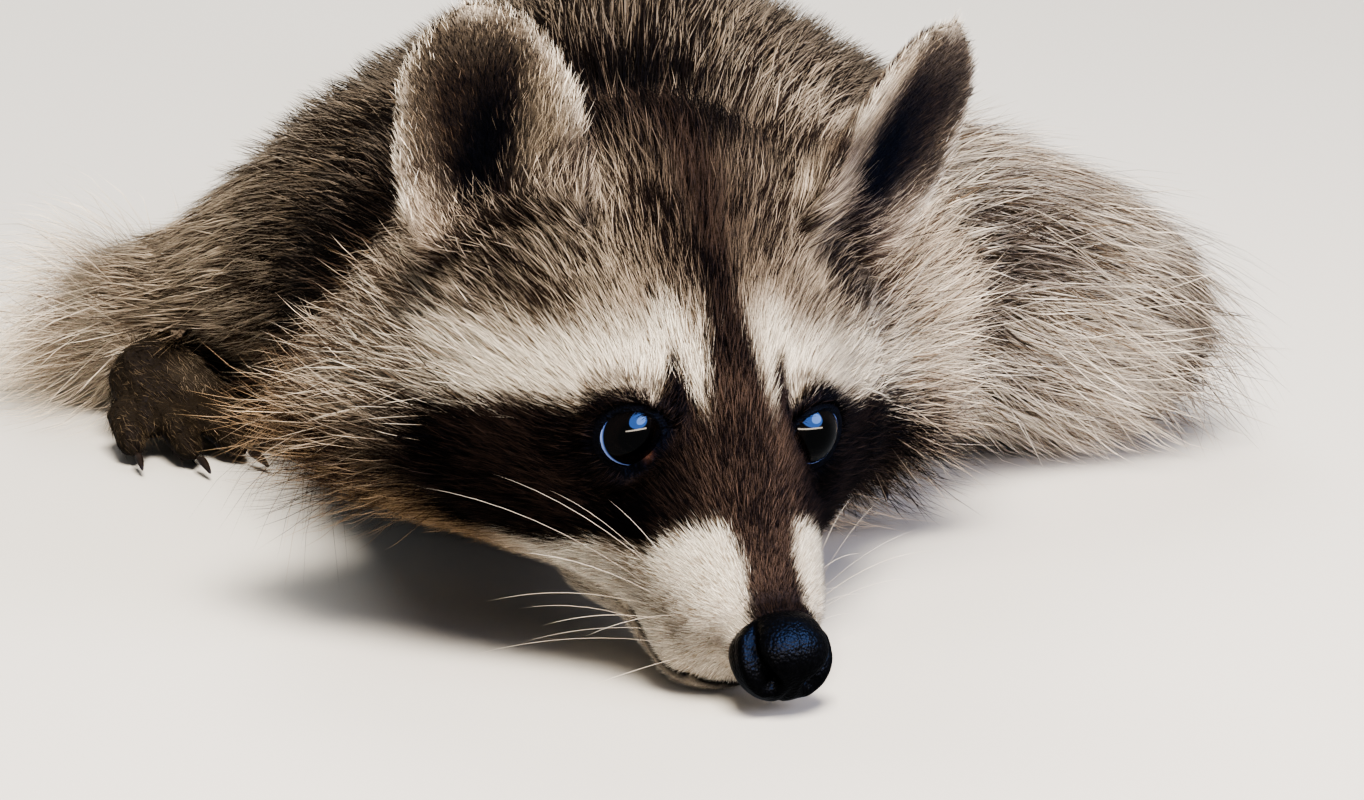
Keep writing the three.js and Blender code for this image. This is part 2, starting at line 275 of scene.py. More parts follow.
# %% [markdown]
# ## The depth of the coat
# A raccoon's coat is a few millimetres deep on the muzzle, two centimetres on the ruff and back, and
# thickest on the tail. The skin is moved in by that depth in many small steps, smoothed a little
# between them, as one big step would turn sharp ridges inside out.

# %% Coat depth
DEPTH = {
    "ear": 0.5, "neck": 13, "trunk": 16, "upper_arm": 9, "forearm": 6, "hand": 0.1,
    "thigh": 12, "shank": 7, "foot": 0.3, "tail": 14, "head": 4, "jaw": 2,
}
PRESSED = 3.0  # mm of coat left between the skin and the floor


def coat_depth(points, label):
    """Millimetres from the skin to the tips of the coat."""
    depth = np.zeros(len(points))
    for part, value in DEPTH.items():
        depth[is_part(label, part)] = value
    at = to_head(points)
    face = is_part(label, "head")
    behind = at[:, 1]
    short = np.interp(behind, [0, 15, 35, 60, 90, 120, 140], [0.8, 1.2, 1.8, 3, 4.5, 7, 10])
    ruff = 5 * smooth(behind, 62, 100) * smooth(np.abs(at[:, 0]), 36, 60) * smooth(-at[:, 2], -22, 10)
    depth[face] = (short + ruff)[face]
    floor_room = np.maximum(points[:, 2] / MM, 0) + PRESSED
    return np.minimum(depth, np.maximum(floor_room, 0))


def edge_list(me):
    return numbers(me.edges, "vertices", 2, np.int64)


def move_points(me, points):
    me.vertices.foreach_set("co", points.ravel())
    me.update()


def averaged(values, edges, count):
    """Each point's mean over its neighbours."""
    total = np.zeros_like(values)
    for a, b in ((0, 1), (1, 0)):
        for k in range(values.shape[1]):
            total[:, k] += np.bincount(edges[:, a], values[edges[:, b], k], count)
    links = np.bincount(edges.ravel(), minlength=count)
    return total / np.maximum(links, 1)[:, None]


def normals_of(points, tris):
    a, b, c = (points[tris[:, k]] for k in range(3))
    across = np.cross(b - a, c - a)
    total = np.zeros_like(points)
    for k in range(3):
        for axis in range(3):
            total[:, axis] += np.bincount(tris[:, k], across[:, axis], len(points))
    return unit(total)


def shrunk(me, label, steps=10, calm=0.35):
    """Moves the skin in by the coat's depth. Bare paws are smoothed without losing their size."""
    points, tris, edges = points_of(me), triangles_of(me), edge_list(me)
    count = len(points)
    depth = coat_depth(points, label)[:, None]
    for _ in range(12):
        depth = 0.5 * depth + 0.5 * averaged(depth, edges, count)
    bare = is_part(label, "hand", "foot")[:, None]
    for _ in range(4):
        points += 0.5 * (averaged(points, edges, count) - points)
        points -= np.where(bare, 0.52, 0) * (averaged(points, edges, count) - points)
    ease = np.where(bare, 0, np.where(is_part(label, "ear")[:, None], 0.15, 1)) * calm
    for _ in range(steps):
        points -= normals_of(points, tris) * (depth * MM / steps)
        points += ease * (averaged(points, edges, count) - points)
    under_long_coat = 0.6 * smooth(depth, 4.5, 8) * (ease > 0.1)
    for _ in range(25):
        points += under_long_coat * (averaged(points, edges, count) - points)
    move_points(me, points)
    return depth[:, 0]


skin_depth = shrunk(skin_mesh, skin_label)
print("coat depth, mm:", round(skin_depth.min(), 1), "to", round(skin_depth.max(), 1))

# %% [markdown]
# ## Finer skin round the eyes
# Lids need points less than a millimetre apart. Only the edges near the eyes are cut in half, twice,
# so the rest of the skin stays light. Once the lids are shaped, what they stretched is cut again.

# %% Cut the skin finer near the eyes
EYE_RADIUS = 8.6
EYE_CENTRES = {tag: np.array(middle(f"eye_{tag}")) for tag, _ in SIDES}
FINE_REACH = 21 * MM
LONG_EDGE = 1.1 * MM


def by_an_eye(point):
    return any((point - Vector(c)).length < FINE_REACH for c in EYE_CENTRES.values())


def finer(me, longer=0.0):
    """Cuts the edges near the eyes in half, if they are longer than this."""
    bm = bmesh.new()
    bm.from_mesh(me)
    near = [e for e in bm.edges if all(by_an_eye(v.co) for v in e.verts)]
    picked = [e for e in near if e.calc_length() > longer]
    bmesh.ops.subdivide_edges(bm, edges=picked, cuts=1, use_grid_fill=True)
    bmesh.ops.triangulate(bm, faces=[f for f in bm.faces if len(f.verts) > 4])
    bm.to_mesh(me)
    bm.free()


for _ in range(2):
    finer(skin_mesh)
print("finer skin:", len(skin_mesh.polygons), "faces")

# %% [markdown]
# ## Lids
# The lid is a thin fold that hugs the eyeball. Seen from the eyeball's centre, the skin is pulled to
# just outside the ball all round the opening, and behind the ball's surface inside it, and it runs
# back to the face's own shape further out.

# %% Shape the lids
LID_OPEN = math.radians(50.5)
LID_STRETCH = math.radians(3.5)  # wider than high
LID_EDGE = math.radians(7)
LID_BLEND = math.radians(45)
LID_THICK = 1.1
LID_GAP = 0.15  # mm between the eyeball and the lid
SOCKET_DEEP = 2.5  # mm from the eyeball's surface to the skin hidden behind it
LID_FOLD = 0.7
FOLD_ABOVE = math.radians(17)
CORNER_ROLL = math.radians(148)  # where round the eye the inner corner is
CORNER_FOLD = math.radians(9)


def eye_axes(side):
    return HEAD @ np.array(turned(side * EYE_TURN, -EYE_LIFT, 0))


def eye_angles(points, tag, side):
    """Distance in mm from an eyeball's centre, angle off its gaze, and the angle round the gaze."""
    at = (points - EYE_CENTRES[tag]) @ eye_axes(side) / MM
    far = np.linalg.norm(at, axis=1)
    off = np.arccos(np.clip(-at[:, 1] / np.maximum(far, 1e-9), -1, 1))
    return far, off, np.arctan2(at[:, 2], side * at[:, 0])


def inner_corner(roll):
    """1 at the inner, lower corner of the eye, where a small reddish fold sits."""
    return np.exp(-((np.abs(np.angle(np.exp(1j * (roll + CORNER_ROLL))))) / 0.3) ** 2)


def opening(roll):
    """How far off the gaze the lids' edge is. A small fold fills the inner corner."""
    return LID_OPEN + LID_STRETCH * np.cos(2 * roll) - CORNER_FOLD * inner_corner(roll)


def with_lids(me):
    points = points_of(me)
    outside, inside = EYE_RADIUS + LID_GAP, EYE_RADIUS - SOCKET_DEEP
    for tag, side in SIDES:
        far, off, roll = eye_angles(points, tag, side)
        close = far < 2.2 * EYE_RADIUS
        edge = opening(roll)
        lid = outside + LID_THICK * smooth(off, edge, edge + LID_EDGE)
        lid -= LID_FOLD * np.exp(-(((off - edge - FOLD_ABOVE) / 0.07) ** 2)) * smooth(np.sin(roll), -0.2, 0.5)
        within = inside + (outside - inside) * smooth(off, edge - 0.12, edge)
        hug = np.where(off < edge, within, lid)
        back = smooth(off, edge + LID_EDGE, edge + LID_BLEND)
        wanted = hug * (1 - back) + np.maximum(far, EYE_RADIUS + 0.8) * back
        scale = np.where(close & (off < math.pi * 0.62), wanted / np.maximum(far, 1e-9), 1)
        points = EYE_CENTRES[tag] + (points - EYE_CENTRES[tag]) * scale[:, None]
    move_points(me, points)


with_lids(skin_mesh)
for _ in range(3):
    finer(skin_mesh, LONG_EDGE)

# %% [markdown]
# ## Nose seat and lips
# The nose pad has a piece of its own, so the skin stops just behind it. Along each side of the mouth
# a groove parts the upper lip from the lower jaw.

# %% Shape the nose seat and the lips
NOSE_FRONT = 1.0
NOSE_CENTRE = (2, 2, -1.6)
LIP_DEPTH = 1.5
LIP_WIDTH = 1.1
LIP_PATH = (  # out, behind, up
    (0, 9.4, -19), (2.1, 9.5, -19.2), (6.2, 10.6, -19.6), (10.2, 12.3, -19.9), (10.6, 17, -22.6),
    (11.3, 21.4, -24), (12, 26.8, -24.3), (12.9, 30, -24), (14.5, 36, -22.8),
)


def lip_near(at, width=LIP_WIDTH):
    """1 on the mouth line, 0 away from it."""
    folded = np.stack([np.abs(at[:, 0] - 1), at[:, 1], at[:, 2]], 1)
    far = np.full(len(at), 99.0)
    for a, b in zip(np.array(LIP_PATH), np.array(LIP_PATH[1:])):
        along = np.clip((folded - a) @ (b - a) / ((b - a) @ (b - a)), 0, 1)
        far = np.minimum(far, np.linalg.norm(folded - a - along[:, None] * (b - a), axis=1))
    return np.exp(-((far / width) ** 2))


def lip_band(at, width):
    """The mouth line as a band that is wider towards its corner."""
    return lip_near(at, width * (1 + 0.45 * smooth(at[:, 1], 11, 16)))


def full_lips(at):
    """The upper lips hang full over the jaw in front, and the jaw is slighter behind them."""
    low = smooth(-at[:, 2], 7, 17) * smooth(at[:, 1], 1, 9)
    front = low * fade(at[:, 1], 16, 30)
    drop = low * fade(at[:, 1], 20, 34)
    chin = smooth(-at[:, 2], 11, 19) * fade(at[:, 1], 15, 30)
    behind = smooth(-at[:, 2], 15, 26) * smooth(at[:, 1], 28, 42) * fade(at[:, 1], 70, 92)
    at[:, 0] = NOSE_CENTRE[0] + (at[:, 0] - NOSE_CENTRE[0]) * (1 + 0.3 * front - 0.16 * behind)
    at[:, 1] -= 5 * chin
    at[:, 2] += 3.4 * behind - 3.6 * drop
    points = from_head(at)
    points[:, 2] = np.maximum(points[:, 2], PRESSED * 0.3 * MM)
    return points


def with_lips(me):
    tris = triangles_of(me)
    points = full_lips(to_head(points_of(me)))
    at = to_head(points)
    normal = normals_of(points, tris)
    points = points - normal * (LIP_DEPTH * MM * lip_near(at))[:, None]
    at = to_head(points)
    seat = smooth(at[:, 2], -15, -10) * (at[:, 1] < 12)
    at[:, 1] += seat * (NOSE_FRONT + (at[:, 1] + 8) * (12 - NOSE_FRONT) / 20 - at[:, 1])
    move_points(me, from_head(at))


with_lips(skin_mesh)
print("skin after lids and lips:", len(skin_mesh.polygons), "faces")

# %% [markdown]
# ## Unwrap the skin
# The skin is laid out flat once. Every lock of hair later takes the spot of its own root on this
# layout, so the coat's colours can be baked without mixing up neighbours.

# %% Unwrap
skin = placed("skin", skin_mesh)


def unwrap(ob):
    bpy.context.view_layer.objects.active = ob
    ob.select_set(True)
    ob.data.uv_layers.new(name="OFBake")
    bpy.ops.object.mode_set(mode="EDIT")
    bpy.ops.mesh.select_all(action="SELECT")
    bpy.ops.uv.smart_project(angle_limit=math.radians(66), island_margin=0.002)
    bpy.ops.object.mode_set(mode="OBJECT")
    ob.select_set(False)


unwrap(skin)
print("unwrapped:", len(skin_mesh.loops), "corners")

# %% [markdown]
# ## Markings
# A raccoon's coat is built from a few kinds of fur. Each kind here is the colour of its pale hairs'
# tips, the colour near their roots, and the share of dark hairs among them. The markings say how much
# of each kind there is at a place, and skin and coat both read them, so they always agree. The root
# colours are partly the hairs' own and partly painted shade: those of the pale kinds are darkened for
# the shade that falls deep between the locks.

# %% Kinds of fur
KINDS = {
    "grizzled": ("#cdbda8", "#33271f", 0.47),
    "forehead": ("#b4a28e", "#2a201a", 0.64),
    "cream": ("#fff8ea", "#96826a", 0.03),
    "buff": ("#ead9c2", "#5e4b3c", 0.14),
    # ochre is laid only low on the cheeks, as painted warm light thrown up from below
    "ochre": ("#ad8f6c", "#2f2219", 0.4),
    "mask": ("#382c26", "#0d0a09", 0.6),
    "bridge": ("#625045", "#1c1512", 0.5),
    "nape": ("#54453b", "#14100d", 0.78),
    "back": ("#b3a18b", "#30261f", 0.5),
    "belly": ("#a6927b", "#54443a", 0.2),
    "ring": ("#2a201b", "#120d0b", 0.7),
    "hand": ("#8f7d66", "#100c09", 0.7),
    "hollow": ("#4f3f31", "#0b0907", 0.66),
    "muzzle": ("#fffcf2", "#b8a48a", 0.1),
    "pads": ("#a89c92", "#3c312a", 0.42),
    # near black: dark skin at the lips and ear openings, with painted shade deep in those gaps
    "hole": ("#0e0b0a", "#050404", 0.8),
    "ear_edge": ("#bbaa92", "#2e251e", 0.35),
}
KIND_ROWS = {
    name: np.array([*hex_colour(tip), *hex_colour(root), dark]) for name, (tip, root, dark) in KINDS.items()
}


def laid(base, *layers):
    """Lays kinds of fur over what is there, each by its amount from 0 to 1."""
    for kind, amount in layers:
        share = np.clip(amount, 0, 1)[:, None]
        base = base * (1 - share) + KIND_ROWS[kind] * share
    return base


def all_of(kind, count):
    return np.repeat(KIND_ROWS[kind][None], count, 0)


WAVES = rng.normal(0, 1, (24, 3))
PHASES = rng.uniform(0, 2 * math.pi, 24)


def mottle(points, size):
    """Soft random patches about this many metres across, mostly between -1 and 1."""
    return np.cos(points @ WAVES.T / size + PHASES).sum(1) / math.sqrt(len(WAVES) / 2)


# %% [markdown]
# The face is drawn from a few measured lines, in millimetres in the head's frame: the dark stripe down
# the middle, the edge between mask and brow with its small spike over the inner corner of the eye,
# and the mask's lower edge along the muzzle and cheek. The mask reaches further back on the left.

# %% The face's lines
STRIPE = ([0, 5, 10, 18, 27, 44, 50, 64, 72, 84, 110, 140], [9, 8.2, 7, 6.2, 8.5, 8, 7.2, 4.6, 4, 4, 5, 9])
BROW_EDGE = (
    [7, 8, 9, 10, 11.4, 12.6, 13.8, 15.5, 18, 24.7, 30, 38.6, 45, 53, 57, 66, 72, 80, 90],
    [42, 45, 49, 54, 58.5, 60.5, 60, 57, 55.8, 59.5, 61.5, 67, 70, 77, 82, 92, 96, 99, 102],
)
BROW_TOP = ([0, 12, 17, 35, 48, 58, 66], [70, 72, 69, 77, 88, 98, 106])
MASK_LOW = ([25, 31, 37.6, 45.7, 56, 66, 80], [0, 0, -4, -12.3, -20.5, -28, -34])
MASK_FRONT = ([0, 6, 12, 16], [28.5, 28.5, 26.5, 25])
MASK_END = ([-28, -17, -6, 5, 14], [71, 75.5, 78, 82, 86])
MASK_LEFT = 30  # mm further back on the left
TEMPLES = (  # out, behind, up, reach
    (42, 88, 26, 8), (52, 92, 10, 8), (34, 98, 34, 8), (25, 107, 46, 7), (18, 114, 43, 8),
)
PADS = ((24, 32, -5), (21, 25, -5), (18, 18, -5), (15, 12, -5), (11, 8, -6))
MOUSTACHE = ((13, 10, -6), (15, 15, -9), (16, 20, -6), (12, 14, -11), (18, 24, -10))


def spots(at, places, reach):
    """1 at any of these places, the same on both sides, and 0 away from them all."""
    out = np.abs(at[:, 0])
    found = np.zeros(len(at))
    for x, y, z in places:
        off = ((out - x) ** 2 + (at[:, 1] - y) ** 2 + (at[:, 2] - z) ** 2) / reach**2
        found = np.maximum(found, np.exp(-off))
    return found


def face_fur(at):
    """Kinds of fur over the head, for points in the head's frame."""
    left, behind, up = at.T
    out = np.abs(left - 2 * np.exp(-((behind / 26) ** 2)))
    edge = np.interp(out, *BROW_EDGE)
    edge += smooth(left, 46, 56) * (77.3 - 0.89 * up - edge)
    top = np.interp(out, *BROW_TOP)
    cheek = smooth(out, 44, 58) * smooth(behind, 66, 84)
    # The cheeks' cream is much stronger on the left than on the right: painted light, for the lit side of the
    # face.
    painted_light_left = 0.3 + 0.65 * smooth(left, 0, 30)
    soft = 1.4 + 4.5 * fade(out, 7, 12)
    brow = smooth(behind, edge - soft, edge + soft) * fade(behind, edge + 0.4 * (top - edge), top + 3)
    streaky = 0.5 + 0.35 * mottle(at * MM, 0.0035)
    # A warm ochre tint low on the cheeks, stronger on the right, is painted warm light thrown up from below.
    warm_bounce_light = 0.35 + 0.5 * smooth(-left, -10, 10)
    low = np.interp(behind, *MASK_LOW) - 8 * smooth(left, 46, 56)
    front = np.interp(up, *MASK_FRONT)
    muzzle = smooth(low - up, -1.4, 1.8) * fade(behind, 43, 66)
    pale = np.maximum(muzzle, fade(behind, front - 1.5, front + 1.5))
    end = np.interp(up, *MASK_END) + MASK_LEFT * smooth(left, 0, 20)
    mask = smooth(edge - behind, -soft, soft) * smooth(behind - front, -1.8, 1.8)
    mask *= smooth(up - low, -1.8, 1.8) * smooth(end - behind + 3 * mottle(at * MM, 0.003), -11, 8)
    blurred = 1.2 + 2.2 * smooth(behind, 60, 84)
    stripe = smooth(np.interp(behind, *STRIPE) - out, -blurred, blurred)
    stripe = stripe * smooth(up, 0, 3) * fade(behind, 118, 140)
    return laid(
        all_of("forehead", len(at)),
        ("grizzled", smooth(out, 8, 26) * smooth(112 - behind, 0, 20)),
        ("nape", smooth(behind, 98, 120) * smooth(up, 22, 44) * smooth(60 - out, 0, 30)),
        ("nape", 0.75 * fade(out, 5, 22) * smooth(behind, 66, 86)),
        ("buff", cheek * smooth(118 - behind, 0, 14)),
        ("cream", painted_light_left * cheek * smooth(up, -36, -16) * smooth(100 - behind, 0, 18)),
        *(("nape", 0.8 * spots(at, (place,), reach)) for *place, reach in TEMPLES),
        ("cream", brow * smooth(up, -16, -4)),
        ("grizzled", streaky * smooth(out, 40, 62) * smooth(112 - behind, 0, 10) * (left < 0)),
        ("ochre", warm_bounce_light * smooth(-up, 10, 28) * smooth(behind, 42, 60)),
        ("muzzle", pale),
        ("pads", 0.75 * pale * spots(at, PADS, 5) * (0.7 + 0.3 * mottle(at * MM, 0.0012))),
        ("buff", 0.3 * pale * smooth(-up, 10, 22)),
        ("bridge", 0.7 * pale * spots(at, MOUSTACHE, 1.5)),
        ("mask", mask),
        ("bridge", mask * fade(out, 8, 15) * fade(behind, 44, 52)),
        ("bridge", stripe),
        ("mask", stripe * np.maximum(0.75 * smooth(behind, 46, 60), fade(behind, 9, 15))),
        # A near-black band along the mouth line: partly the black lip edge, partly painted shade in the gap
        # under the upper lip.
        ("hole", 1.8 * lip_band(at - [0, 0, 0.4], 1.3)),
    )


# %% [markdown]
# An ear is a leaf bent into a trough, so its fur is placed by the share of its half width at each
# height. Its hollow is dark, with a pale rim, and long pale hairs cross it from the front edge. Low in
# the hollow a near-black patch is partly dark skin and partly painted shade deep in the ear's opening.

# %% The ears' markings
def ear_axes(side):
    return HEAD @ np.array(turned(side * EAR_TURN, -EAR_LEAN, side * EAR_SPREAD))


def in_ear(points, side):
    """World points as millimetres in one ear's frame: across, behind its hollow, and up from its root."""
    root = from_head(np.array(EAR_ROOT) / MM * [side, 1, 1])
    return (points - root) @ ear_axes(side) / MM


EAR_UP = [-14, 0, 13, 27, 34, 40.4, 47, 51, 54]
EAR_HALF = [20, 23.5, 24.5, 22.5, 20.5, 17.4, 11.7, 7, 2]
EAR_FLOOR = ([-1, -0.2, 0.2], [20, 4, 0])  # the fur in front of the ear covers it up to this height
EAR_BEND = [24, 26, 30, 35, 38, 40, 43, 45, 46]  # radius of the trough that the ear is bent into


def ear_share(points, side):
    """Share of the ear's half width, outwards; whether it is in the hollow; and height in mm."""
    across, deep, up = in_ear(points, side).T
    bend = np.interp(up, EAR_UP, EAR_BEND)
    arc = bend * np.arctan2(side * across, bend + deep)
    hollow = (np.hypot(across, bend + deep) < bend) * 1.0
    return arc / np.interp(up, EAR_UP, EAR_HALF), hollow, up


def ear_fur(points, base, side):
    """Kinds of fur over one ear, on top of what is there."""
    share, front, up = ear_share(points, side)
    over_floor = up - np.interp(share, *EAR_FLOOR)
    rim = np.maximum(smooth(np.abs(share) + 0.05 * (share > 0), 0.88, 0.96), smooth(up, 47.5, 51))
    inside = front * smooth(over_floor, -2, 3)
    covered = front - inside
    slant = 0.011 * (up - 10)
    inner = inside * smooth(-share - slant, 0.06, 0.4) * smooth(56 - up, 0, 20)
    # A near-black patch low in the hollow: partly dark skin, partly painted shade deep in the ear's opening.
    dark = np.exp(-(((share - 0.13 + slant) / 0.3) ** 2) - ((up - 14) / 21) ** 2) * inside
    return laid(
        base,
        ("nape", smooth(up, 4, 14)),
        ("grizzled", covered),
        ("nape", 0.85 * covered * smooth(-share, 0.45, 0.7) * smooth(up, 4, 12)),
        ("hollow", inside),
        ("ear_edge", 0.55 * inside * smooth(share, 0.4, 0.9)),
        ("ear_edge", 0.45 * inside * smooth(up, 33, 48)),
        ("ear_edge", 0.9 * inner),
        ("cream", 0.5 * inside * smooth(-share, 0.65, 0.9)),
        ("buff", 0.75 * front * smooth(share, 0.3, 0.8) * fade(up, 6, 18)),
        ("hole", 1.3 * dark),
        ("cream", 0.9 * (rim * smooth(over_floor, -2, 5))),
    )


# %% [markdown]
# Behind the head the coat is grizzled brown, with a dark nape, a paler belly and pale outer sides of
# the arms. The tail has five dark rings and a dark tip. At the end, head, ears and body are put
# together, so that one function gives the fur of any point.

# %% The body's markings
TAIL_RINGS = [0.2, 0.36, 0.52, 0.67, 0.81]
RING_HALF = 0.042
tail_start, tail_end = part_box("tail_1")[0].y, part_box("tail_4")[1].y


def body_fur(points, label):
    """Kinds of fur over everything behind the head."""
    x, y = points[:, 0], points[:, 1]
    height = points[:, 2] / MM
    left, behind, _ = to_head(points).T
    reach = 72 + 26 * smooth(-left, 0, 40)
    nape = smooth(reach - np.abs(left), 0, 50) * smooth(behind, 100, 125)
    nape *= 1 - smooth(left, 25, 50) * fade(height, 95, 130)
    arm = smooth(x, 0.045, 0.075) * fade(y, -0.17, -0.09)
    tan = is_part(label, "upper_arm_r") * smooth(-x, 0.06, 0.1)
    forearm, hand, on_tail = (is_part(label, part) * 1.0 for part in ("forearm_r", "hand", "tail"))
    share = (y - tail_start) / (tail_end - tail_start)
    ring = sum(np.exp(-(((share - r) / RING_HALF) ** 4)) for r in TAIL_RINGS) + smooth(share, 0.9, 0.94)
    return laid(
        all_of("back", len(points)),
        ("grizzled", 0.8 * is_part(label, "upper_arm", "thigh", "shank", "neck")),
        ("belly", fade(height, 12, 42)),
        ("nape", nape * fade(behind, 150, 225)),
        ("buff", 0.85 * arm * fade(height, 95, 138)),
        ("cream", 0.75 * arm * fade(height, 65, 120)),
        ("bridge", 0.8 * arm * smooth(mottle(points, 0.012), 1.0, 1.6)),
        # Darker towards the left arm's far outline: painted shade where the arm turns away from the light.
        ("nape", 0.5 * arm * smooth(x, 0.115, 0.145)),
        ("buff", tan * (0.45 + 0.25 * mottle(points, 0.008))),
        ("buff", forearm),
        ("cream", 0.4 * forearm),
        ("hand", hand),
        # Paler patches of hair on the hands: partly the hair's own grizzle and partly a painted sheen.
        ("buff", 0.35 * hand * smooth(mottle(points, 0.007), 0.1, 1.1)),
        ("grizzled", 0.6 * is_part(label, "foot")),
        ("buff", on_tail * smooth(share, 0.02, 0.16)),
        ("ring", on_tail * ring),
    )


def markings(points, label):
    """Rows of tip colour, root colour and dark share, for points on the skin."""
    at = to_head(points)
    left, behind, up = at.T
    neck = is_part(label, "neck")
    cheeky = neck * fade(behind, 120, 165) * smooth(np.abs(left), 40, 62)
    body = laid(body_fur(points, label), ("buff", cheeky), ("grizzled", cheeky * 0.5 * smooth(up, 0, 30)))
    face_share = is_part(label, "head", "jaw", "ear") + neck * (left > 40) * fade(behind, 102, 114)
    fur = body + face_share[:, None] * (face_fur(at) - body)
    for tag, side in SIDES:
        ear = is_part(label, f"ear_{tag}")[:, None]
        fur = np.where(ear, ear_fur(points, fur, side), fur)
    fur[:, 6] += 0.17 * mottle(points, 0.006) * smooth(fur[:, 6], 0.05, 0.3)
    return fur


# %% [markdown]
# ## Materials
# One small function adds a node with its settings and links, so each material below reads as a short
# recipe from the real surface to its shader.

# %% Node helper
def node(tree, kind, settings=None, inputs=None):
    """Adds a node of this kind; an input is a value or a socket to link from."""
    made = tree.nodes.new("ShaderNode" + kind)
    for key, value in (settings or {}).items():
        setattr(made, key, value)
    for key, value in (inputs or {}).items():
        if isinstance(value, bpy.types.NodeSocket):
            tree.links.new(value, made.inputs[key])
        else:
            made.inputs[key].default_value = value
    return made


def material(name, **constants):
    """A material whose Principled shader has these constant settings, and its node tree."""
    made = bpy.data.materials.new(name)
    made.use_nodes = True
    shader = made.node_tree.nodes["Principled BSDF"]
    for key, value in constants.items():
        shader.inputs[key.replace("_", " ")].default_value = value
    return made, made.node_tree, shader


def link(tree, made, output, shader, socket):
    tree.links.new(made.outputs[output], shader.inputs[socket])


# %% [markdown]
# Underfur over skin: dull, dark between the locks and soft. Its colour is the markings', leaning to the
# roots' and darkened a little more: partly the underfur's own dark tone and partly painted shade deep in
# the coat. It is held at each point, and a fine noise of about half a millimetre stands in for the wool
# of the underfur. The paws, lips and lid rims are more or less bare: there the wool gives way to
# creases about 2.4 mm across, and the surface turns half glossy. Two attributes, "marking_and_shade"
# and "bare", carry both.

# %% Underfur material
WOOL_PER_MM = 1.8
CREASES_PER_MM = 0.42
RELIEF = 1.1 * MM


def underfur_material():
    made, tree, shader = material("Underfur", Specular_IOR_Level=0.13)
    marks = node(tree, "Attribute", {"attribute_name": "marking_and_shade"})
    bare = node(tree, "Attribute", {"attribute_name": "bare"})
    where = node(tree, "TexCoord").outputs["Object"]
    wool = node(tree, "TexNoise", inputs={"Vector": where, "Scale": WOOL_PER_MM / MM, "Detail": 3})
    crease = node(
        tree, "TexNoise",
        inputs={"Vector": where, "Scale": CREASES_PER_MM / MM, "Detail": 5, "Distortion": 0.6},
    )
    shade = node(tree, "MapRange", inputs={"Value": wool.outputs["Fac"], "To Min": 0.55, "To Max": 1.3})
    tint = node(
        tree, "VectorMath", {"operation": "SCALE"},
        {0: marks.outputs["Color"], "Scale": shade.outputs["Result"]},
    )
    link(tree, tint, "Vector", shader, "Base Color")
    gloss = node(tree, "MapRange", inputs={"Value": bare.outputs["Fac"], "To Min": 0.92, "To Max": 0.36})
    link(tree, gloss, "Result", shader, "Roughness")
    deep = node(tree, "MapRange", inputs={"Value": crease.outputs["Fac"], "To Max": 2.0})
    relief = node(
        tree, "Mix", {"data_type": "FLOAT"},
        {"Factor": bare.outputs["Fac"], "A": wool.outputs["Fac"], "B": deep.outputs["Result"]},
    )
    bump = node(
        tree, "Bump", inputs={"Height": relief.outputs["Result"], "Strength": 0.8, "Distance": RELIEF}
    )
    link(tree, bump, "Normal", shader, "Normal")
    return made


# %% [markdown]
# Guard hair: each lock is streaked along its length, as a bundle of hairs is, and its colour runs
# from the root's to the tip's. The shader is dull enough that the coat glows instead of glinting.

# %% Coat material
def coat_material():
    made, tree, shader = material("Guard_Hair", Roughness=0.6, Specular_IOR_Level=0.06)
    marks = node(tree, "Attribute", {"attribute_name": "coat"})
    strand = node(tree, "UVMap", {"uv_map": "strand"})
    streak = node(tree, "TexNoise", inputs={"Vector": strand.outputs["UV"], "Scale": 1, "Detail": 2})
    shade = node(tree, "MapRange", inputs={"Value": streak.outputs["Fac"], "To Min": 0.7, "To Max": 1.3})
    tint = node(
        tree, "VectorMath", {"operation": "SCALE"},
        {0: marks.outputs["Color"], "Scale": shade.outputs["Result"]},
    )
    link(tree, tint, "Vector", shader, "Base Color")
    return made


underfur = underfur_material()
guard_hair = coat_material()

# %% Paint the skin
def point_colours(me, name, colours):
    """Holds a linear colour at each point of a mesh."""
    layer = me.color_attributes.new(name=name, type="FLOAT_COLOR", domain="POINT")
    full = np.ones((len(me.vertices), 4), np.float32)
    full[:, :3] = colours
    layer.data.foreach_set("color", full.ravel())


def bareness(points, label):
    """How bare the skin is: the paws in part, and a narrow edge of the lids and lips."""
    bare = is_part(label, "hand") * 0.67 + is_part(label, "foot") * 0.3
    for tag, side in SIDES:
        far, off, roll = eye_angles(points, tag, side)
        rim = 0.7 * (far < EYE_RADIUS + 2.5) * fade(off - opening(roll), 0.03, 0.1)
        bare = np.maximum(bare, rim)
    return np.maximum(bare, 0.8 * lip_band(to_head(points), 1.4))


skin_points = points_of(skin_mesh)
skin_label = part_of(skin_points)
skin_fur = markings(skin_points, skin_label)
# The skin leans to the roots' colour, and the tips' share is darkened by a quarter: partly the underfur's own
# tone and partly painted shade deep in the coat.
UNDER = 0.6  # how far the skin's colour goes to the roots' colour
under_colour = skin_fur[:, :3] * (1 - UNDER) * 0.75 + skin_fur[:, 3:6] * UNDER
skin_bare = bareness(skin_points, skin_label)
bare_dark = np.where(is_part(skin_label, "head", "jaw"), 0.95, 1.15)
under_colour *= (1 - bare_dark * skin_bare)[:, None]
for tag, side in SIDES:
    far, off, roll = eye_angles(skin_points, tag, side)
    lid = (far < EYE_RADIUS + 3) * fade(off - opening(roll), 0.12, 0.35)
    under_colour *= (1 - 0.85 * lid)[:, None]
    fold = inner_corner(roll) ** 2 * fade(far, EYE_RADIUS + 0.2, EYE_RADIUS + 0.9)
    under_colour += fold[:, None] * (np.array(hex_colour("#946553")) - under_colour)
point_colours(skin_mesh, "marking_and_shade", under_colour)
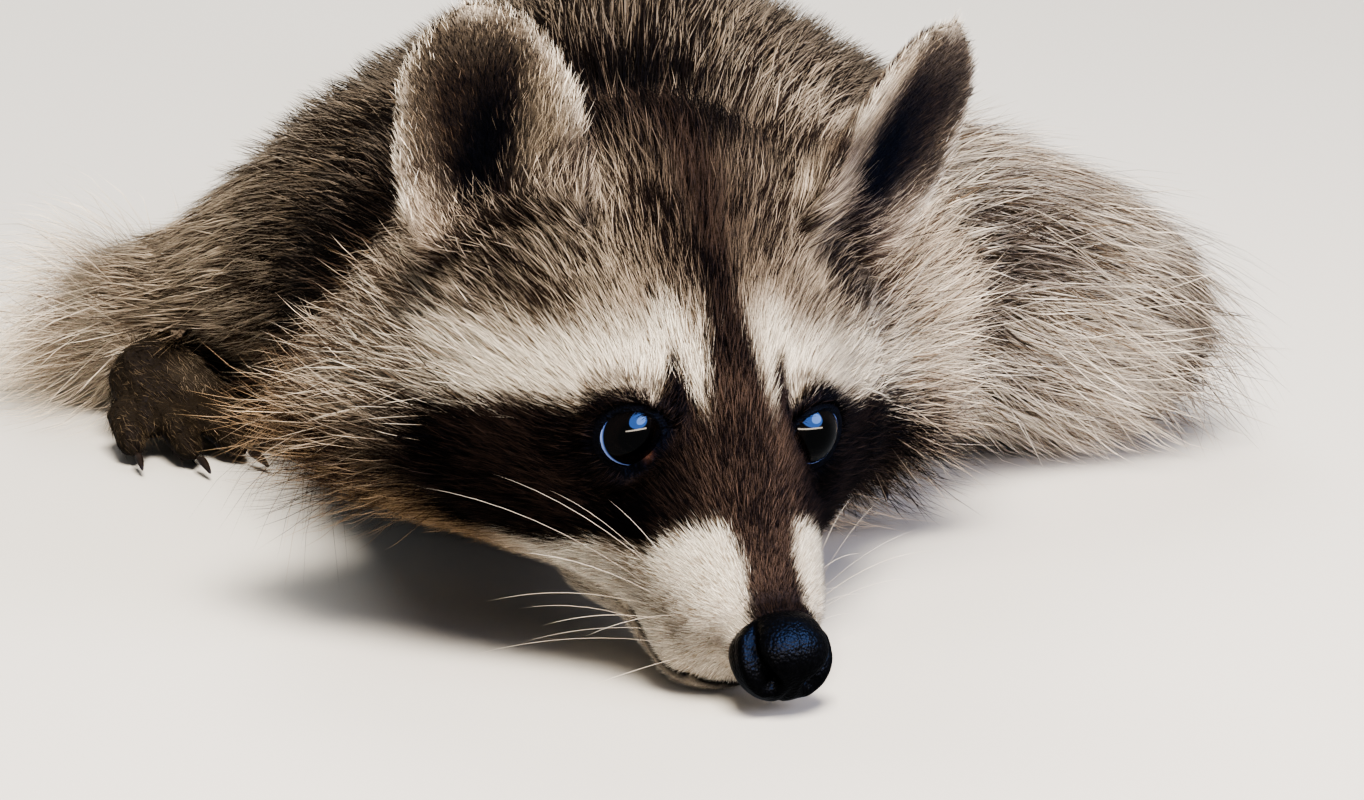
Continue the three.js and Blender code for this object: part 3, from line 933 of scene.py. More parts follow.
point_colours(skin_mesh, "bare", np.repeat(skin_bare[:, None], 3, 1))
skin_mesh.materials.clear()
skin_mesh.materials.append(underfur)
skin_mesh.shade_smooth()
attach(skin, "root")
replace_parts(skin, *FLESH)

# %% [markdown]
# ## Locks of hair
# A lock is a thin closed spike with three sides, bent along its length if it is long. All the locks
# of a region are one mesh, built at once from arrays of their roots, bends and tips, because adding
# hundreds of thousands of them one by one would take too long.

# %% Lock builder
LOCK_PATCH = 0.003  # width of a lock's patch on the skin's layout
LOCK_FLAT = 0.45  # how flat a lock is, against its width


def lock_faces(rings):
    """A lock's triangles, and where each corner falls on its patch."""
    faces, places = [], []
    for r in range(rings - 1):
        v0, v1 = r / rings, (r + 1) / rings
        for c in range(3):
            a, b = 3 * r + c, 3 * r + (c + 1) % 3
            u0, u1 = c / 3, (c + 1) / 3
            faces += [(a, b, b + 3), (a, b + 3, a + 3)]
            places += [((u0, v0), (u1, v0), (u1, v1)), ((u0, v0), (u1, v1), (u0, v1))]
    last, low = 3 * (rings - 1), (rings - 1) / rings
    for c in range(3):
        faces.append((last + c, last + (c + 1) % 3, 3 * rings))
        places.append(((c / 3, low), ((c + 1) / 3, low), ((c + 0.5) / 3, 1)))
    faces.append((2, 1, 0))
    places.append(((0, -0.2), (1 / 3, -0.2), (1 / 6, -0.02)))
    return np.array(faces), np.array(places)


def locks_mesh(name, root, bend, tip, normal, width, spot, tip_colour, root_colour, rings):
    """One mesh of closed locks. normal is the skin's at each root, and spot its place in the layout."""
    count, per = len(root), 3 * rings + 1
    shares = np.arange(rings) / rings
    co = np.empty((count, per, 3))
    for r, t in enumerate(shares):
        centre = (1 - t) ** 2 * root + 2 * t * (1 - t) * bend + t * t * tip
        along = unit((1 - t) * (bend - root) + t * (tip - bend))
        across = unit(np.cross(along, normal))
        out = np.cross(across, along)
        girth = width * 0.5 * (0.75 + 0.5 * t if rings > 1 else 1) * (1 - t**2.2)
        for c, angle in enumerate(np.radians([90, 210, 330])):
            wide, high = girth * math.cos(angle), girth * LOCK_FLAT * math.sin(angle)
            co[:, 3 * r + c] = centre + across * wide[:, None] + out * high[:, None]
    co[:, -1] = tip
    faces, places = lock_faces(rings)
    every = (faces[None] + per * np.arange(count)[:, None, None]).reshape(-1, 3)
    me = bpy.data.meshes.new(name)
    me.vertices.add(count * per)
    me.vertices.foreach_set("co", co.reshape(-1))
    me.loops.add(every.size)
    me.loops.foreach_set("vertex_index", every.ravel())
    me.polygons.add(len(every))
    me.polygons.foreach_set("loop_start", np.arange(0, every.size, 3))
    me.update(calc_edges=True)
    me.shade_smooth()
    flat = places.reshape(-1, 2)
    patch = me.uv_layers.new(name="OFBake")
    patch.data.foreach_set("uv", (spot[:, None] + (flat[None] - 0.5) * LOCK_PATCH).ravel())
    strand = me.uv_layers.new(name="strand")
    length = np.linalg.norm(tip - root, axis=1)[:, None] / MM
    shift = rng.random((count, 2)) * 400
    fine = np.stack([flat[None, :, 0] * 5 + shift[:, :1], flat[None, :, 1] * length * 0.12 + shift[:, 1:]], 2)
    strand.data.foreach_set("uv", fine.ravel())
    ramp = smooth(np.concatenate([np.repeat(shares, 3), [1.0]]), 0.05, 0.85)[None, :, None]
    colour = root_colour[:, None] * (1 - ramp) + tip_colour[:, None] * ramp
    point_colours(me, "coat", colour.reshape(-1, 3))
    me.materials.append(guard_hair)
    return me


# %% [markdown]
# ## The lie of the coat
# Hair on a raccoon's face fans out from the nose and from between the eyes. On the neck and body it
# runs back and outwards, on the limbs towards the paws, and on the tail towards the tip. The way,
# length and width of the hair are worked out once at every point of the skin and then evened out
# between neighbours, so nothing jumps where two parts of the body meet.

# %% Lie of the coat
LIMB_LIE = {
    "upper_arm_r": (-0.8, 0.45, -0.25), "upper_arm_l": (0.9, 0.2, -0.32),
    "forearm_r": (-0.75, 0.1, -0.05), "forearm_l": (0.8, -0.2, -0.3),
    "hand_r": (0.64, -0.76, -0.1), "hand_l": (-0.34, -0.94, -0.1),
    "thigh": (0, 0.9, -0.45), "shank": (0, 0.9, -0.3), "foot": (0, -1, 0),
}
DOWN = np.array([0, 0.35, -1.0])
TRUNK_HALF = 0.09
tail_middles = np.array([middle(f"tail_{k}") for k in range(1, 5)])


def body_lie(points, label):
    """Back and outwards over the trunk, along each limb, and along the tail."""
    out = points[:, :1] / TRUNK_HALF
    way = out * [0.75, 0, 0] + [0, 1, 0] - [0, 0, 0.3] * np.abs(out)
    for part, direction in LIMB_LIE.items():
        way = np.where(is_part(label, part)[:, None], np.array(direction), way)
    slope = np.gradient(tail_middles[:, 0], tail_middles[:, 1])
    bent = np.interp(points[:, 1], tail_middles[:, 1], slope)
    tail_way = np.stack([bent, np.ones(len(points)), -0.05 * np.ones(len(points))], 1)
    return unit(np.where(is_part(label, "tail")[:, None], tail_way, way))


def face_lie(at, label):
    """A fan from the nose, flatter under the jaw."""
    fan = np.stack([at[:, 0] * 1.05, 0.42 * at[:, 1] + 9, at[:, 2] * 0.9 - 2], 1)
    under = np.stack([at[:, 0] * 0.5, 0 * at[:, 1] + 30, 0 * at[:, 2] - 4], 1)
    return unit(np.where(is_part(label, "jaw")[:, None], under, fan)) @ HEAD.T


def flat_on(way, normal):
    """The part of each direction that runs along the skin."""
    return way - normal * (way * normal).sum(1, keepdims=True)


def lie(points, normal, label):
    """The way the hair points, along the skin."""
    at = to_head(points)
    face = is_part(label, "head", "jaw", "neck")[:, None]
    to_body = smooth(at[:, 1], 120, 190)[:, None] * is_part(label, "neck")[:, None]
    body = body_lie(points, label)
    way = np.where(face, face_lie(at, label) * (1 - to_body) + body * to_body, body)
    for tag, side in SIDES:
        rows = ear_axes(side).T
        lean = np.sign(in_ear(points, side)[:, :1]) * 0.35
        way = np.where(is_part(label, f"ear_{tag}")[:, None], rows[2] + lean * rows[0], way)
        far, _, _ = eye_angles(points, tag, side)
        pull = np.exp(-((np.maximum(far - EYE_RADIUS, 0) / 6) ** 2))[:, None]
        way = way * (1 - 0.6 * pull) + unit(points - EYE_CENTRES[tag]) * pull
    along = flat_on(way, normal)
    lost = fade(np.linalg.norm(along, axis=1), 0.15, 0.5)[:, None]
    return unit(along + lost * flat_on(DOWN, normal))


# %% [markdown]
# ## Length and width of the hair
# Millimetres, by part. On the face both follow the distance behind the nose, and the ruff of the
# cheeks is longest low down. On the ears the length follows the height above the root.

# %% Length and width
FACE_LONG = ([0, 12, 30, 50, 70, 95, 125, 150], [2.2, 2.8, 4.4, 6, 8.5, 11, 15, 20])
FACE_WIDE = ([0, 15, 40, 80, 125], [0.22, 0.24, 0.26, 0.29, 0.4])
EAR_LONG = ([-10, 5, 20, 50], [12, 8, 5.5, 3.0])
LONG = {
    "trunk": 34, "neck": 24, "upper_arm": 27, "forearm": 24, "thigh": 26, "shank": 14, "tail": 36,
    "hand": 5.5, "foot": 4.5, "upper_arm_l": 42, "forearm_l": 40,
}
WIDE = {
    "trunk": 0.8, "neck": 0.45, "upper_arm": 0.5, "forearm": 0.45, "thigh": 0.85, "shank": 0.7, "tail": 0.85,
    "hand": 0.26, "foot": 0.45, "ear": 0.3,
}


def by_part(label, table, otherwise):
    value = np.full(len(label), float(otherwise))
    for part, number in table.items():
        value[is_part(label, part)] = number
    return value


def hair_long(points, label):
    at = to_head(points)
    face = is_part(label, "head", "jaw")
    left = smooth(at[:, 0], 20, 50)
    low = smooth(at[:, 1] - 18 * left, 60, 96 - 10 * left) * smooth(np.abs(at[:, 0]), 34, 58)
    low *= smooth(-at[:, 2], -26, 12) * (1 + 0.4 * left)
    length = np.where(face, np.interp(at[:, 1], *FACE_LONG) + 16 * low, by_part(label, LONG, 5))
    for tag, side in SIDES:
        share, front, up = ear_share(points, side)
        ear = np.interp(up, *EAR_LONG) + 5 * (smooth(-share, 0.3, 0.8) * front * fade(up, 20, 44))
        ear *= 1 - 0.45 * smooth(np.abs(share), 0.84, 1) * smooth(up, 0, 14)
        length = np.where(is_part(label, f"ear_{tag}"), ear, length)
    length *= 1 - 0.9 * lip_near(at, 5) * face
    return np.minimum(length, 7 + points[:, 2] / MM * 1.3)


def hair_wide(points, label):
    at = to_head(points)
    return np.where(
        is_part(label, "head", "jaw"), np.interp(at[:, 1], *FACE_WIDE), by_part(label, WIDE, 0.5)
    )


class Skin:
    """The finished skin as arrays, for sampling."""

    def __init__(self, me):
        self.points, self.tris, edges = points_of(me), triangles_of(me), edge_list(me)
        corners = numbers(me.loop_triangles, "loops", 3, np.int64)
        self.uv = numbers(me.uv_layers["OFBake"].data, "uv", 2)[corners]
        self.normals = normals_of(self.points, self.tris)
        a, b, c = (self.points[self.tris[:, k]] for k in range(3))
        self.area = np.linalg.norm(np.cross(b - a, c - a), axis=1) / 2
        self.centre = (a + b + c) / 3
        self.label = skin_label[self.tris[:, 0]]
        self.tree = BVHTree.FromPolygons([Vector(p) for p in self.points], self.tris.tolist())
        hair = [
            lie(self.points, self.normals, skin_label),
            hair_long(self.points, skin_label)[:, None],
            hair_wide(self.points, skin_label)[:, None],
            np.maximum(coat_depth(self.points + [0, 0, 0.02], skin_label), 0.4)[:, None],
        ]
        hair = np.concatenate(hair, 1)
        calm = 0.08 + 0.52 * smooth(to_head(self.points)[:, 1:2], 80, 115)
        for _ in range(30):
            hair += calm * (averaged(hair, edges, len(hair)) - hair)
        self.hair = hair


whole = Skin(skin_mesh)
print("skin area, m2:", round(whole.area.sum(), 3))

# %% [markdown]
# ## Roots
# Roots are scattered over the skin's triangles by area and by how dense the coat has to be there.

# %% Scatter roots
def scattered(count, density):
    """Roots by area times density: place, normal, layout spot, label and hair."""
    weight = np.cumsum(whole.area * density)
    picks = (np.arange(count) + rng.random(count)) / count * weight[-1]
    tri = np.minimum(np.searchsorted(weight, picks), len(weight) - 1)
    a, b = rng.random((2, count))
    flip = a + b > 1
    a, b = np.where(flip, 1 - a, a), np.where(flip, 1 - b, b)
    share = np.stack([1 - a - b, a, b], 1)[:, :, None]
    place, normal, hair = (
        (values[whole.tris[tri]] * share).sum(1) for values in (whole.points, whole.normals, whole.hair)
    )
    return place, unit(normal), (whole.uv[tri] * share).sum(1), whole.label[tri], hair


def settled(points, lift):
    """Points moved to this height above the skin, following its curve."""
    moved = np.empty_like(points)
    for k, p in enumerate(points):
        place, normal, _, _ = whole.tree.find_nearest(Vector(p))
        moved[k] = place + normal * lift[k]
    return moved


def gathered(tip, spacing, strength):
    """Tips drawn towards shared points, one for this many locks."""
    centres = tip[rng.permutation(len(tip))[: max(8, int(len(tip) / spacing))]]
    tree = KDTree(len(centres))
    for k, c in enumerate(centres):
        tree.insert(Vector(c), k)
    tree.balance()
    nearest = np.array([tree.find(Vector(p))[1] for p in tip])
    return tip + (centres[nearest] - tip) * strength


# %% [markdown]
# ## Growing a region
# A lock rises from its root and then lies along the body, so that its tip ends near the outline of
# the solids. Locks of the long coat draw together towards shared points, which parts the coat into
# tufts. Each lock is either a dark hair or a pale-tipped one, by the dark share of its place.

# %% Grow locks
FLOOR_ROOM = 0.25 * MM
SIDE_ROOM = 0.173  # how far out a loose tip may reach
LONG_COAT = 9 * MM
ROOT_DEEP = 0.4 * MM
STEEPEST = 0.75  # of a lock's length
DROOP = 0.22  # how far a quite loose lock's tip hangs, of its length


def new_piece(name, me):
    """A mesh as a piece of the model, which is one still body."""
    piece = placed(name, me)
    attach(piece, "root")
    print(name, len(me.polygons), "faces")
    return piece


def grown(
    name, count, density, rings=1, rise=(0.3, 0.8), long=1.0, wide=1.0, clump=None, stray=0.12, vary=0.18,
    mingle=1.0, tone=1.0, loose=0,
):
    """
    A piece of coat. rise is how far the tips stand off the skin, in coat depths. long, wide and tone scale
    the locks, stray and vary scatter their ways and tones, and clump draws tips together. mingle is how
    far the kinds of fur mix. loose, from 0 to 1, is how freely the tips hang instead of following the body.
    """
    count = int(count * (1))
    root, normal, spot, label, hair = scattered(count, density)
    way = unit(flat_on(hair[:, :3], normal))
    way = unit(way + unit(np.cross(way, normal)) * rng.normal(0, stray, count)[:, None])
    length = hair[:, 3] * MM * long * rng.uniform(0.7, 1.2, count)
    high = np.minimum(hair[:, 5] * MM * rng.uniform(*rise, count), length * STEEPEST)
    tip = root + way * length[:, None] + normal * high[:, None]
    far = (length > LONG_COAT) & (not loose)
    tip[:, 2] -= DROOP * length * loose
    tip[far] = settled(tip[far], high[far])
    if clump:
        tip = gathered(tip, *clump)
    bend = (root + tip) / 2 + normal * (high * 0.3 + length * 0.05)[:, None]
    for part in (tip, bend, root):
        part[:, 2] = np.maximum(part[:, 2], FLOOR_ROOM * (1 + rng.random(count)))
        part[:, 0] = np.clip(part[:, 0], -SIDE_ROOM, SIDE_ROOM)
    spread = mingle * (0.0008 + 0.002 * smooth(length, 0.008, 0.02))
    fur = markings(root + rng.normal(0, 1, (count, 3)) * spread[:, None], label)
    dark = (rng.random(count) < fur[:, 6])[:, None]
    glow = rng.lognormal(0, vary, count)[:, None]
    tip_colour = np.where(dark, fur[:, 3:6] * 0.8, fur[:, :3] * glow) * tone
    # The root colours carry painted shade deep in the coat as well as the hairs' own darker roots.
    root_colour = fur[:, 3:6] * np.where(dark, 0.6, 0.9)
    width = hair[:, 4] * MM * wide * rng.uniform(0.7, 1.25, count)
    root = root - normal * ROOT_DEEP
    me = locks_mesh(name, root, bend, tip, normal, width, spot, tip_colour, root_colour, rings)
    return new_piece(name, me)


# %% [markdown]
# ## The coat, region by region
# Each region is a mask over the skin's triangles times how dense its locks are. The face has the
# finest locks, densest on the muzzle and none on the lids' edges. Longer ones that draw together make
# the ruff, and finer ones lie over it on the crown. Behind the left eye the mask's own long dark
# hair hangs over the start of the ruff.

# %% Regions of the head
at_centre = to_head(whole.centre)
left_c, behind_c, up_c = at_centre.T
FACE = is_part(whole.label, "head", "jaw")


def off_eyes(points):
    """0 inside the lids' edge, 1 outside."""
    keep = np.ones(len(points))
    for tag, side in SIDES:
        far, off, roll = eye_angles(points, tag, side)
        margin = LID_EDGE * (0.35 + inner_corner(roll))
        keep[(far < EYE_RADIUS + 3) & (off < opening(roll) + margin)] = 0
    return keep


bald = smooth(behind_c, 4, 7) * np.maximum(1 - 1.8 * lip_band(at_centre, 1.6), 0) * off_eyes(whole.centre)
face_density = FACE * bald * np.interp(behind_c, [0, 30, 60, 100, 140], [3.2, 2.6, 1.9, 1.3, 0.8])
print("face area, m2:", round((whole.area * FACE).sum(), 4))
HALVES = (("left", left_c > 0), ("right", left_c <= 0))
for tag, mine in HALVES:
    short = face_density * mine * (behind_c < 98)
    for k in (1, 2):
        grown(f"coat_face_{tag}_{k}", 28_000, short, rise=(0.25, 0.85), stray=0.17, vary=0.3)
    crown = FACE * mine * smooth(behind_c + 10 * smooth(left_c, 30, 50), 70, 98)
    ruff = crown * (0.25 + 0.75 * smooth(np.abs(left_c), 30, 52))
    grown(f"coat_ruff_{tag}", 8_000, ruff, rings=2, rise=(0.5, 1.25), wide=1.05, clump=(9, 0.3), stray=0.2)
    grown(f"coat_crown_{tag}", 15_000, crown, rise=(0.6, 1.1), wide=0.6, stray=0.2, vary=0.28)

masked = FACE * smooth(left_c, 46, 54) * smooth(behind_c, 68, 75) * fade(behind_c, 93, 99)
masked *= smooth(-up_c, 0, 8) * fade(-up_c, 27, 34)
grown(
    "coat_mask_left", 4_000, masked, rings=2, rise=(0.7, 1.5), long=1.1, wide=0.9, stray=0.25, loose=0.3,
)

# %% Ears
for tag, side in SIDES:
    on_ear = is_part(whole.label, f"ear_{tag}")
    grown(
        f"coat_ear_{tag}", 12_000, on_ear * 1.0, rise=(0.6, 1.9), wide=0.8, stray=0.22, vary=0.5, mingle=2.2,
    )

# %% Body, tail and paws
SHOULDERS_END = -0.1
front_body = is_part(whole.label, "neck", "upper_arm", "forearm")
front_body |= is_part(whole.label, "trunk") & (whole.centre[:, 1] < SHOULDERS_END)
rear_body = is_part(whole.label, "trunk", "thigh", "shank") & ~front_body
on_tail = is_part(whole.label, "tail")
paws = is_part(whole.label, "hand", "foot")
off_floor = 0.1 + 0.9 * smooth(whole.centre[:, 2] / MM, 4, 9)
for k in (1, 2):
    grown(f"coat_shoulders_{k}", 10_500, front_body * off_floor, rings=2, rise=(0.4, 1.0), clump=(12, 0.4))
bushy = 1 + 3 * is_part(whole.label, "forearm_r")
grown(
    "coat_shoulder_tips", 25_000, front_body * bushy * off_floor, rise=(0.6, 1.25), wide=0.7, stray=0.24,
    vary=0.28,
)
for k in (1, 2):
    grown(f"coat_back_{k}", 14_000, rear_body * off_floor, rise=(0.4, 1.05), clump=(12, 0.3))
grown("coat_tail", 13_000, on_tail * off_floor, rise=(0.5, 1.05), clump=(8, 0.2))
on_hand = 1 + 3 * is_part(whole.label, "hand")
grown(
    "coat_paws", 10_000, paws * on_hand * off_floor, rise=(0.8, 1.6), wide=0.75, stray=0.3, vary=0.45,
)

# %% [markdown]
# ## Loose hair
# Long pale hairs stand out sparsely from the right forearm. Finer ones hang from both cheeks, where
# they soften the head's outline, and from the left cheek they sweep over onto the arm. The left arm's
# own long coat spills forward over its lower edge in the same way.

# %% Wisps and fringes
wispy = is_part(whole.label, "forearm_r") * smooth(-whole.centre[:, 0], 0.11, 0.16) * off_floor
grown(
    "coat_wisps", 1_400, wispy, rings=3, rise=(1.6, 4.4), long=1.5, wide=0.5, stray=0.6, tone=1.3, loose=1,
)
for (tag, mine), (count, long) in zip(HALVES, ((2_600, 1.5), (1_500, 1.1))):
    low = smooth(np.abs(left_c), 40, 56) * smooth(-up_c, -30, 4)
    hanging = FACE * mine * low * smooth(behind_c, 60, 84)
    grown(
        f"coat_fringe_{tag}", count, hanging, rings=3, rise=(0.4, 1.6), long=long, wide=0.6, stray=0.35,
        vary=0.3, loose=1,
    )
spilling = is_part(whole.label, "upper_arm_l", "forearm_l") * off_floor
grown(
    "coat_arm_fringe", 1_800, spilling, rings=3, rise=(0.6, 1.5), long=0.9, wide=0.55, stray=0.4, vary=0.3,
    loose=1,
)

# %% [markdown]
# ## Whiskers
# Whiskers are the same spikes with more bends: stiff, white, about a fifth of a millimetre thick
# where they leave the pads in four rows, and curved.

# %% Whiskers
WHISKER_ROWS = ((23, 17, 0), (23, 18, -4), (22, 15, -8), (20, 11, -11))  # behind the nose, out, up
WHISKERS_IN_ROW = 3
WHISKER_BENDS = 8
WHISKER_DEEP = 0.8 * MM
WHISKER_LOW = 4 * MM  # no tip is nearer the floor


def whiskers(tag, side):
    """Rows of whiskers on one pad: root, way and length in the head's frame."""
    roots, ways, lengths = [], [], []
    for row, (behind, out, up) in enumerate(WHISKER_ROWS):
        for k in range(WHISKERS_IN_ROW):
            roots.append((side * (out - 1.2 * (1 - k)) + 1, behind - 7 + 5 * k, up - 0.8 * k))
            lift = 0.3 - 0.26 * row + rng.normal(0, 0.2)
            ways.append((side * (0.9 - 0.06 * k), 0.42 + 0.15 * k + rng.normal(0, 0.16), lift))
            lengths.append(rng.uniform(0.55, 1.15) * (38 + 9 * k))
    root = from_head(roots)
    way = unit(np.array(ways)) @ HEAD.T
    length = np.array(lengths)[:, None] * MM
    hits = [whole.tree.find_nearest(Vector(p)) for p in root]
    root = np.array([np.array(place - normal * WHISKER_DEEP) for place, normal, _, _ in hits])
    normal = np.array([np.array(normal) for _, normal, _, _ in hits])
    tip = root + way * length - [0, 0, 0.1] * length
    tip[:, 2] = np.maximum(tip[:, 2], WHISKER_LOW)
    bend = root + way * length * 0.5 + [0, 0, 0.08] * length
    count = len(root)
    white, grey = (np.tile(hex_colour(code), (count, 1)) for code in ("#e6ddd0", "#b5a898"))
    spot = np.array([whole.uv[index].mean(0) for _, _, index, _ in hits])
    width = rng.uniform(0.13, 0.24, count) * MM
    me = locks_mesh(f"whiskers_{tag}", root, bend, tip, normal, width, spot, white, grey, WHISKER_BENDS)
    return new_piece(f"whiskers_{tag}", me)


for tag, side in SIDES:
    whiskers(tag, side)

# %% [markdown]
# ## Eyes
# The eyeball of a raccoon is almost black: a very dark brown iris round a wide pupil, with a thin
# ring where the clear cornea ends, painted pale blue-grey: partly its own tone and partly a painted
# reflection of the sky along the wet lower edge. It is always wet, but only its small bright highlight
# shows that. Each gaze is turned a little in and up from the middle of its lids, so the ring shows
# along the lower outer edge, more so on the left.

# %% Eyes
# Colour by angle off the gaze: black pupil and iris, then the ring, whose pale blue is partly its own tone
# and partly a painted reflection of the sky.
EYE_TONES_AND_SKY_REFLECTION = [
    (0.0, "#010101"), (0.26, "#010101"), (0.32, "#060403"), (0.50, "#080504"), (0.55, "#040404"),
    (0.57, "#3f5690"), (0.6, "#8298d4"), (0.65, "#6c81bc"), (0.7, "#343c58"), (0.8, "#0c0a09"),
]


def eye_material():
    made, tree, shader = material("Wet_Eye", Roughness=0.06, Specular_IOR_Level=0.4)
    off = node(tree, "Attribute", {"attribute_name": "off_gaze"})
    ramp = node(tree, "ValToRGB", inputs={"Fac": off.outputs["Fac"]})
    stops = ramp.color_ramp.elements
    stops.remove(stops[1])
    for k, (place, colour) in enumerate(EYE_TONES_AND_SKY_REFLECTION):
        stop = stops[0] if k == 0 else stops.new(place)
        stop.position = place
        stop.color = (*hex_colour(colour), 1)
    link(tree, ramp, "Color", shader, "Base Color")
    return made


wet_eye = eye_material()
CORNEA_REACH = math.radians(42)
CORNEA_BULGE = 0.5  # mm
GAZE_IN = {"l": math.radians(8), "r": math.radians(0.5)}
GAZE_UP = math.radians(8)


def eyeball(tag, side):
    bm = bmesh.new()
    bmesh.ops.create_uvsphere(bm, u_segments=64, v_segments=40, radius=EYE_RADIUS)
    bmesh.ops.rotate(bm, verts=bm.verts, matrix=Matrix.Rotation(math.radians(90), 3, "X"))
    layer = bm.verts.layers.float.new("off_gaze")
    axes = Matrix(eye_axes(side).tolist()) @ turned(-side * GAZE_IN[tag], -GAZE_UP, 0)
    for v in bm.verts:
        off = v.co.angle(Vector((0, -1, 0)))
        v[layer] = off / (math.pi / 2)
        if off < CORNEA_REACH:
            v.co *= 1 + CORNEA_BULGE / EYE_RADIUS * math.cos(off / CORNEA_REACH * math.pi / 2) ** 1.5
        v.co = Vector(EYE_CENTRES[tag]) + axes @ (v.co * MM)
    bmesh.ops.recalc_face_normals(bm, faces=bm.faces)
    me = as_mesh(bm, f"eyeball_{tag}")
    me.shade_smooth()
    me.materials.append(wet_eye)
    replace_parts(new_piece(f"eyeball_{tag}", me), f"eye_{tag}")


for tag, side in SIDES:
    eyeball(tag, side)

# %% [markdown]
# ## Nose
# The nose pad is bare black skin with a pebbled surface, kept wet. A round pad is drawn from a ball.
# On each side a nostril is pressed in: a hole in front whose slit sweeps outwards, up and back, with
# a raised rim below it. A shallow groove runs down the pad's middle and deepens under it.

# %% Nose
NOSE_SIZE = (11.3, 9, 10.3)  # half sizes in mm
SQUARENESS = 2.3  # 2 is a ball
SLIT = (
    (5.4, -8.2, -0.6), (6.6, -7.4, 0.9), (8.4, -5.4, 2.6), (9.7, -2.6, 4.3), (9.3, 0.2, 5.8), (8.2, 2.4, 6.6),
)
PEBBLES_PER_MM = 1.5
RIM = ((5.6, -7.6, -3.6), (8.0, -6.0, -2.4), (9.8, -4.0, 0.2), (11.2, -1.4, 2.4), (10.8, 1.6, 4.0))


def nose_material():
    made, tree, shader = material("Nose_Leather", Roughness=0.36, Specular_IOR_Level=0.11)
    where = node(tree, "TexCoord").outputs["Object"]
    pebbles = node(tree, "TexVoronoi", inputs={"Vector": where, "Scale": PEBBLES_PER_MM / MM})
    tone = node(tree, "ValToRGB", inputs={"Fac": pebbles.outputs["Distance"]})
    tone.color_ramp.elements[0].color = (*hex_colour("#08080a"), 1)
    tone.color_ramp.elements[1].color = (*hex_colour("#020202"), 1)
    link(tree, tone, "Color", shader, "Base Color")
    bump = node(
        tree, "Bump", {"invert": True},
        {"Height": pebbles.outputs["Distance"], "Strength": 0.6, "Distance": 0.25 * MM},
    )
    link(tree, bump, "Normal", shader, "Normal")
    return made


def path_off(point, path):
    """Distance from a point to a path of points, and how far along the path the nearest place is."""
    best = (9e9, 0)
    for k in range(len(path) - 1):
        a, b = Vector(path[k]), Vector(path[k + 1])
        t = max(0, min(1, (point - a).dot(b - a) / (b - a).length_squared))
        best = min(best, ((a + (b - a) * t - point).length, (k + t) / (len(path) - 1)))
    return best


def nose_point(direction):
    """The pad's surface, in mm from its middle, towards a direction."""
    x, y, z = (s * math.copysign(abs(c) ** (2 / SQUARENESS), c) for s, c in zip(NOSE_SIZE, direction))
    x *= 1 - 0.08 * max(0, z / 9) - 0.2 * max(0, -z / 10) ** 2
    mirrored = Vector((abs(x), y, z))
    inward = -mirrored.normalized()
    far, along = path_off(mirrored, SLIT)
    pit = (4.2 - 3.0 * along) * math.exp(-((far / (1.9 - 0.7 * along)) ** 2))
    rim_far, _ = path_off(mirrored, RIM)
    rim = 0.8 * math.exp(-((rim_far / 1.7) ** 2))
    groove = math.exp(-((x / 0.7) ** 2)) * (y < 0) * (0.15 + 0.8 * (z < 0) * min(1, -z / 4))
    moved = mirrored + inward * (pit - rim + groove)
    return Vector((math.copysign(moved.x, x), moved.y, moved.z))


def nose_pad():
    bm = bmesh.new()
    bmesh.ops.create_uvsphere(bm, u_segments=128, v_segments=84, radius=1)
    for v in bm.verts:
        v.co = nose_point(v.co.normalized())
    bmesh.ops.smooth_vert(bm, verts=bm.verts, factor=0.4, use_axis_x=True, use_axis_y=True, use_axis_z=True)
    for v in bm.verts:
        v.co = Vector(from_head([v.co + Vector(NOSE_CENTRE)])[0])
    bmesh.ops.recalc_face_normals(bm, faces=bm.faces)
    me = as_mesh(bm, "nose_pad")
    me.shade_smooth()
    me.materials.append(nose_material())
    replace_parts(new_piece("nose_pad", me), "nose")


nose_pad()

# %% [markdown]
# ## Claws
# Claws are dark horn: hooked, smooth and half glossy. Each copy of a claw's solid is merged and
# smoothed by subdivision, and the five claws of a paw are one piece.

# %% Claws
GROWTH_PER_MM = 0.7


def claw_material():
    made, tree, shader = material("Claw_Horn", Roughness=0.35, Specular_IOR_Level=0.5)
    where = node(tree, "TexCoord").outputs["Object"]
    growth = node(tree, "TexNoise", inputs={"Vector": where, "Scale": GROWTH_PER_MM / MM, "Detail": 2})
    tone = node(tree, "ValToRGB", inputs={"Fac": growth.outputs["Fac"]})
    tone.color_ramp.elements[0].color = (*hex_colour("#100c0b"), 1)
    tone.color_ramp.elements[1].color = (*hex_colour("#2f2620"), 1)
    link(tree, tone, "Color", shader, "Base Color")
    return made


claw_horn = claw_material()


def claws(paw):
    nodes = [f"claw_{paw}_{k}" for k in range(1, 6)]
    me = joined(f"claws_{paw}", nodes)
    me.materials.append(claw_horn)
    me.shade_smooth()
    piece = new_piece(f"claws_{paw}", me)
    rounding = piece.modifiers.new("rounding", "SUBSURF")
    rounding.levels = rounding.render_levels = 2
    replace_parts(piece, *nodes)


for paw in ("hand_l", "hand_r", "foot_l", "foot_r"):
    claws(paw)

# %% [markdown]
# ## Floor, light and camera
# A plain pale floor and soft studio light: one large lamp high in front, a second from the side, and
# one behind that lights the tips of the coat along the outline. Three more are seen only as
# highlights in the eyes and nose: a wide blue one, a paler one beside it, and a thin one low down.

# %% Floor
def floor_material():
    made, _, shader = material("Studio_Floor", Roughness=0.8)
    shader.inputs["Base Color"].default_value = (*hex_colour("#d6d2ca"), 1)
    return made


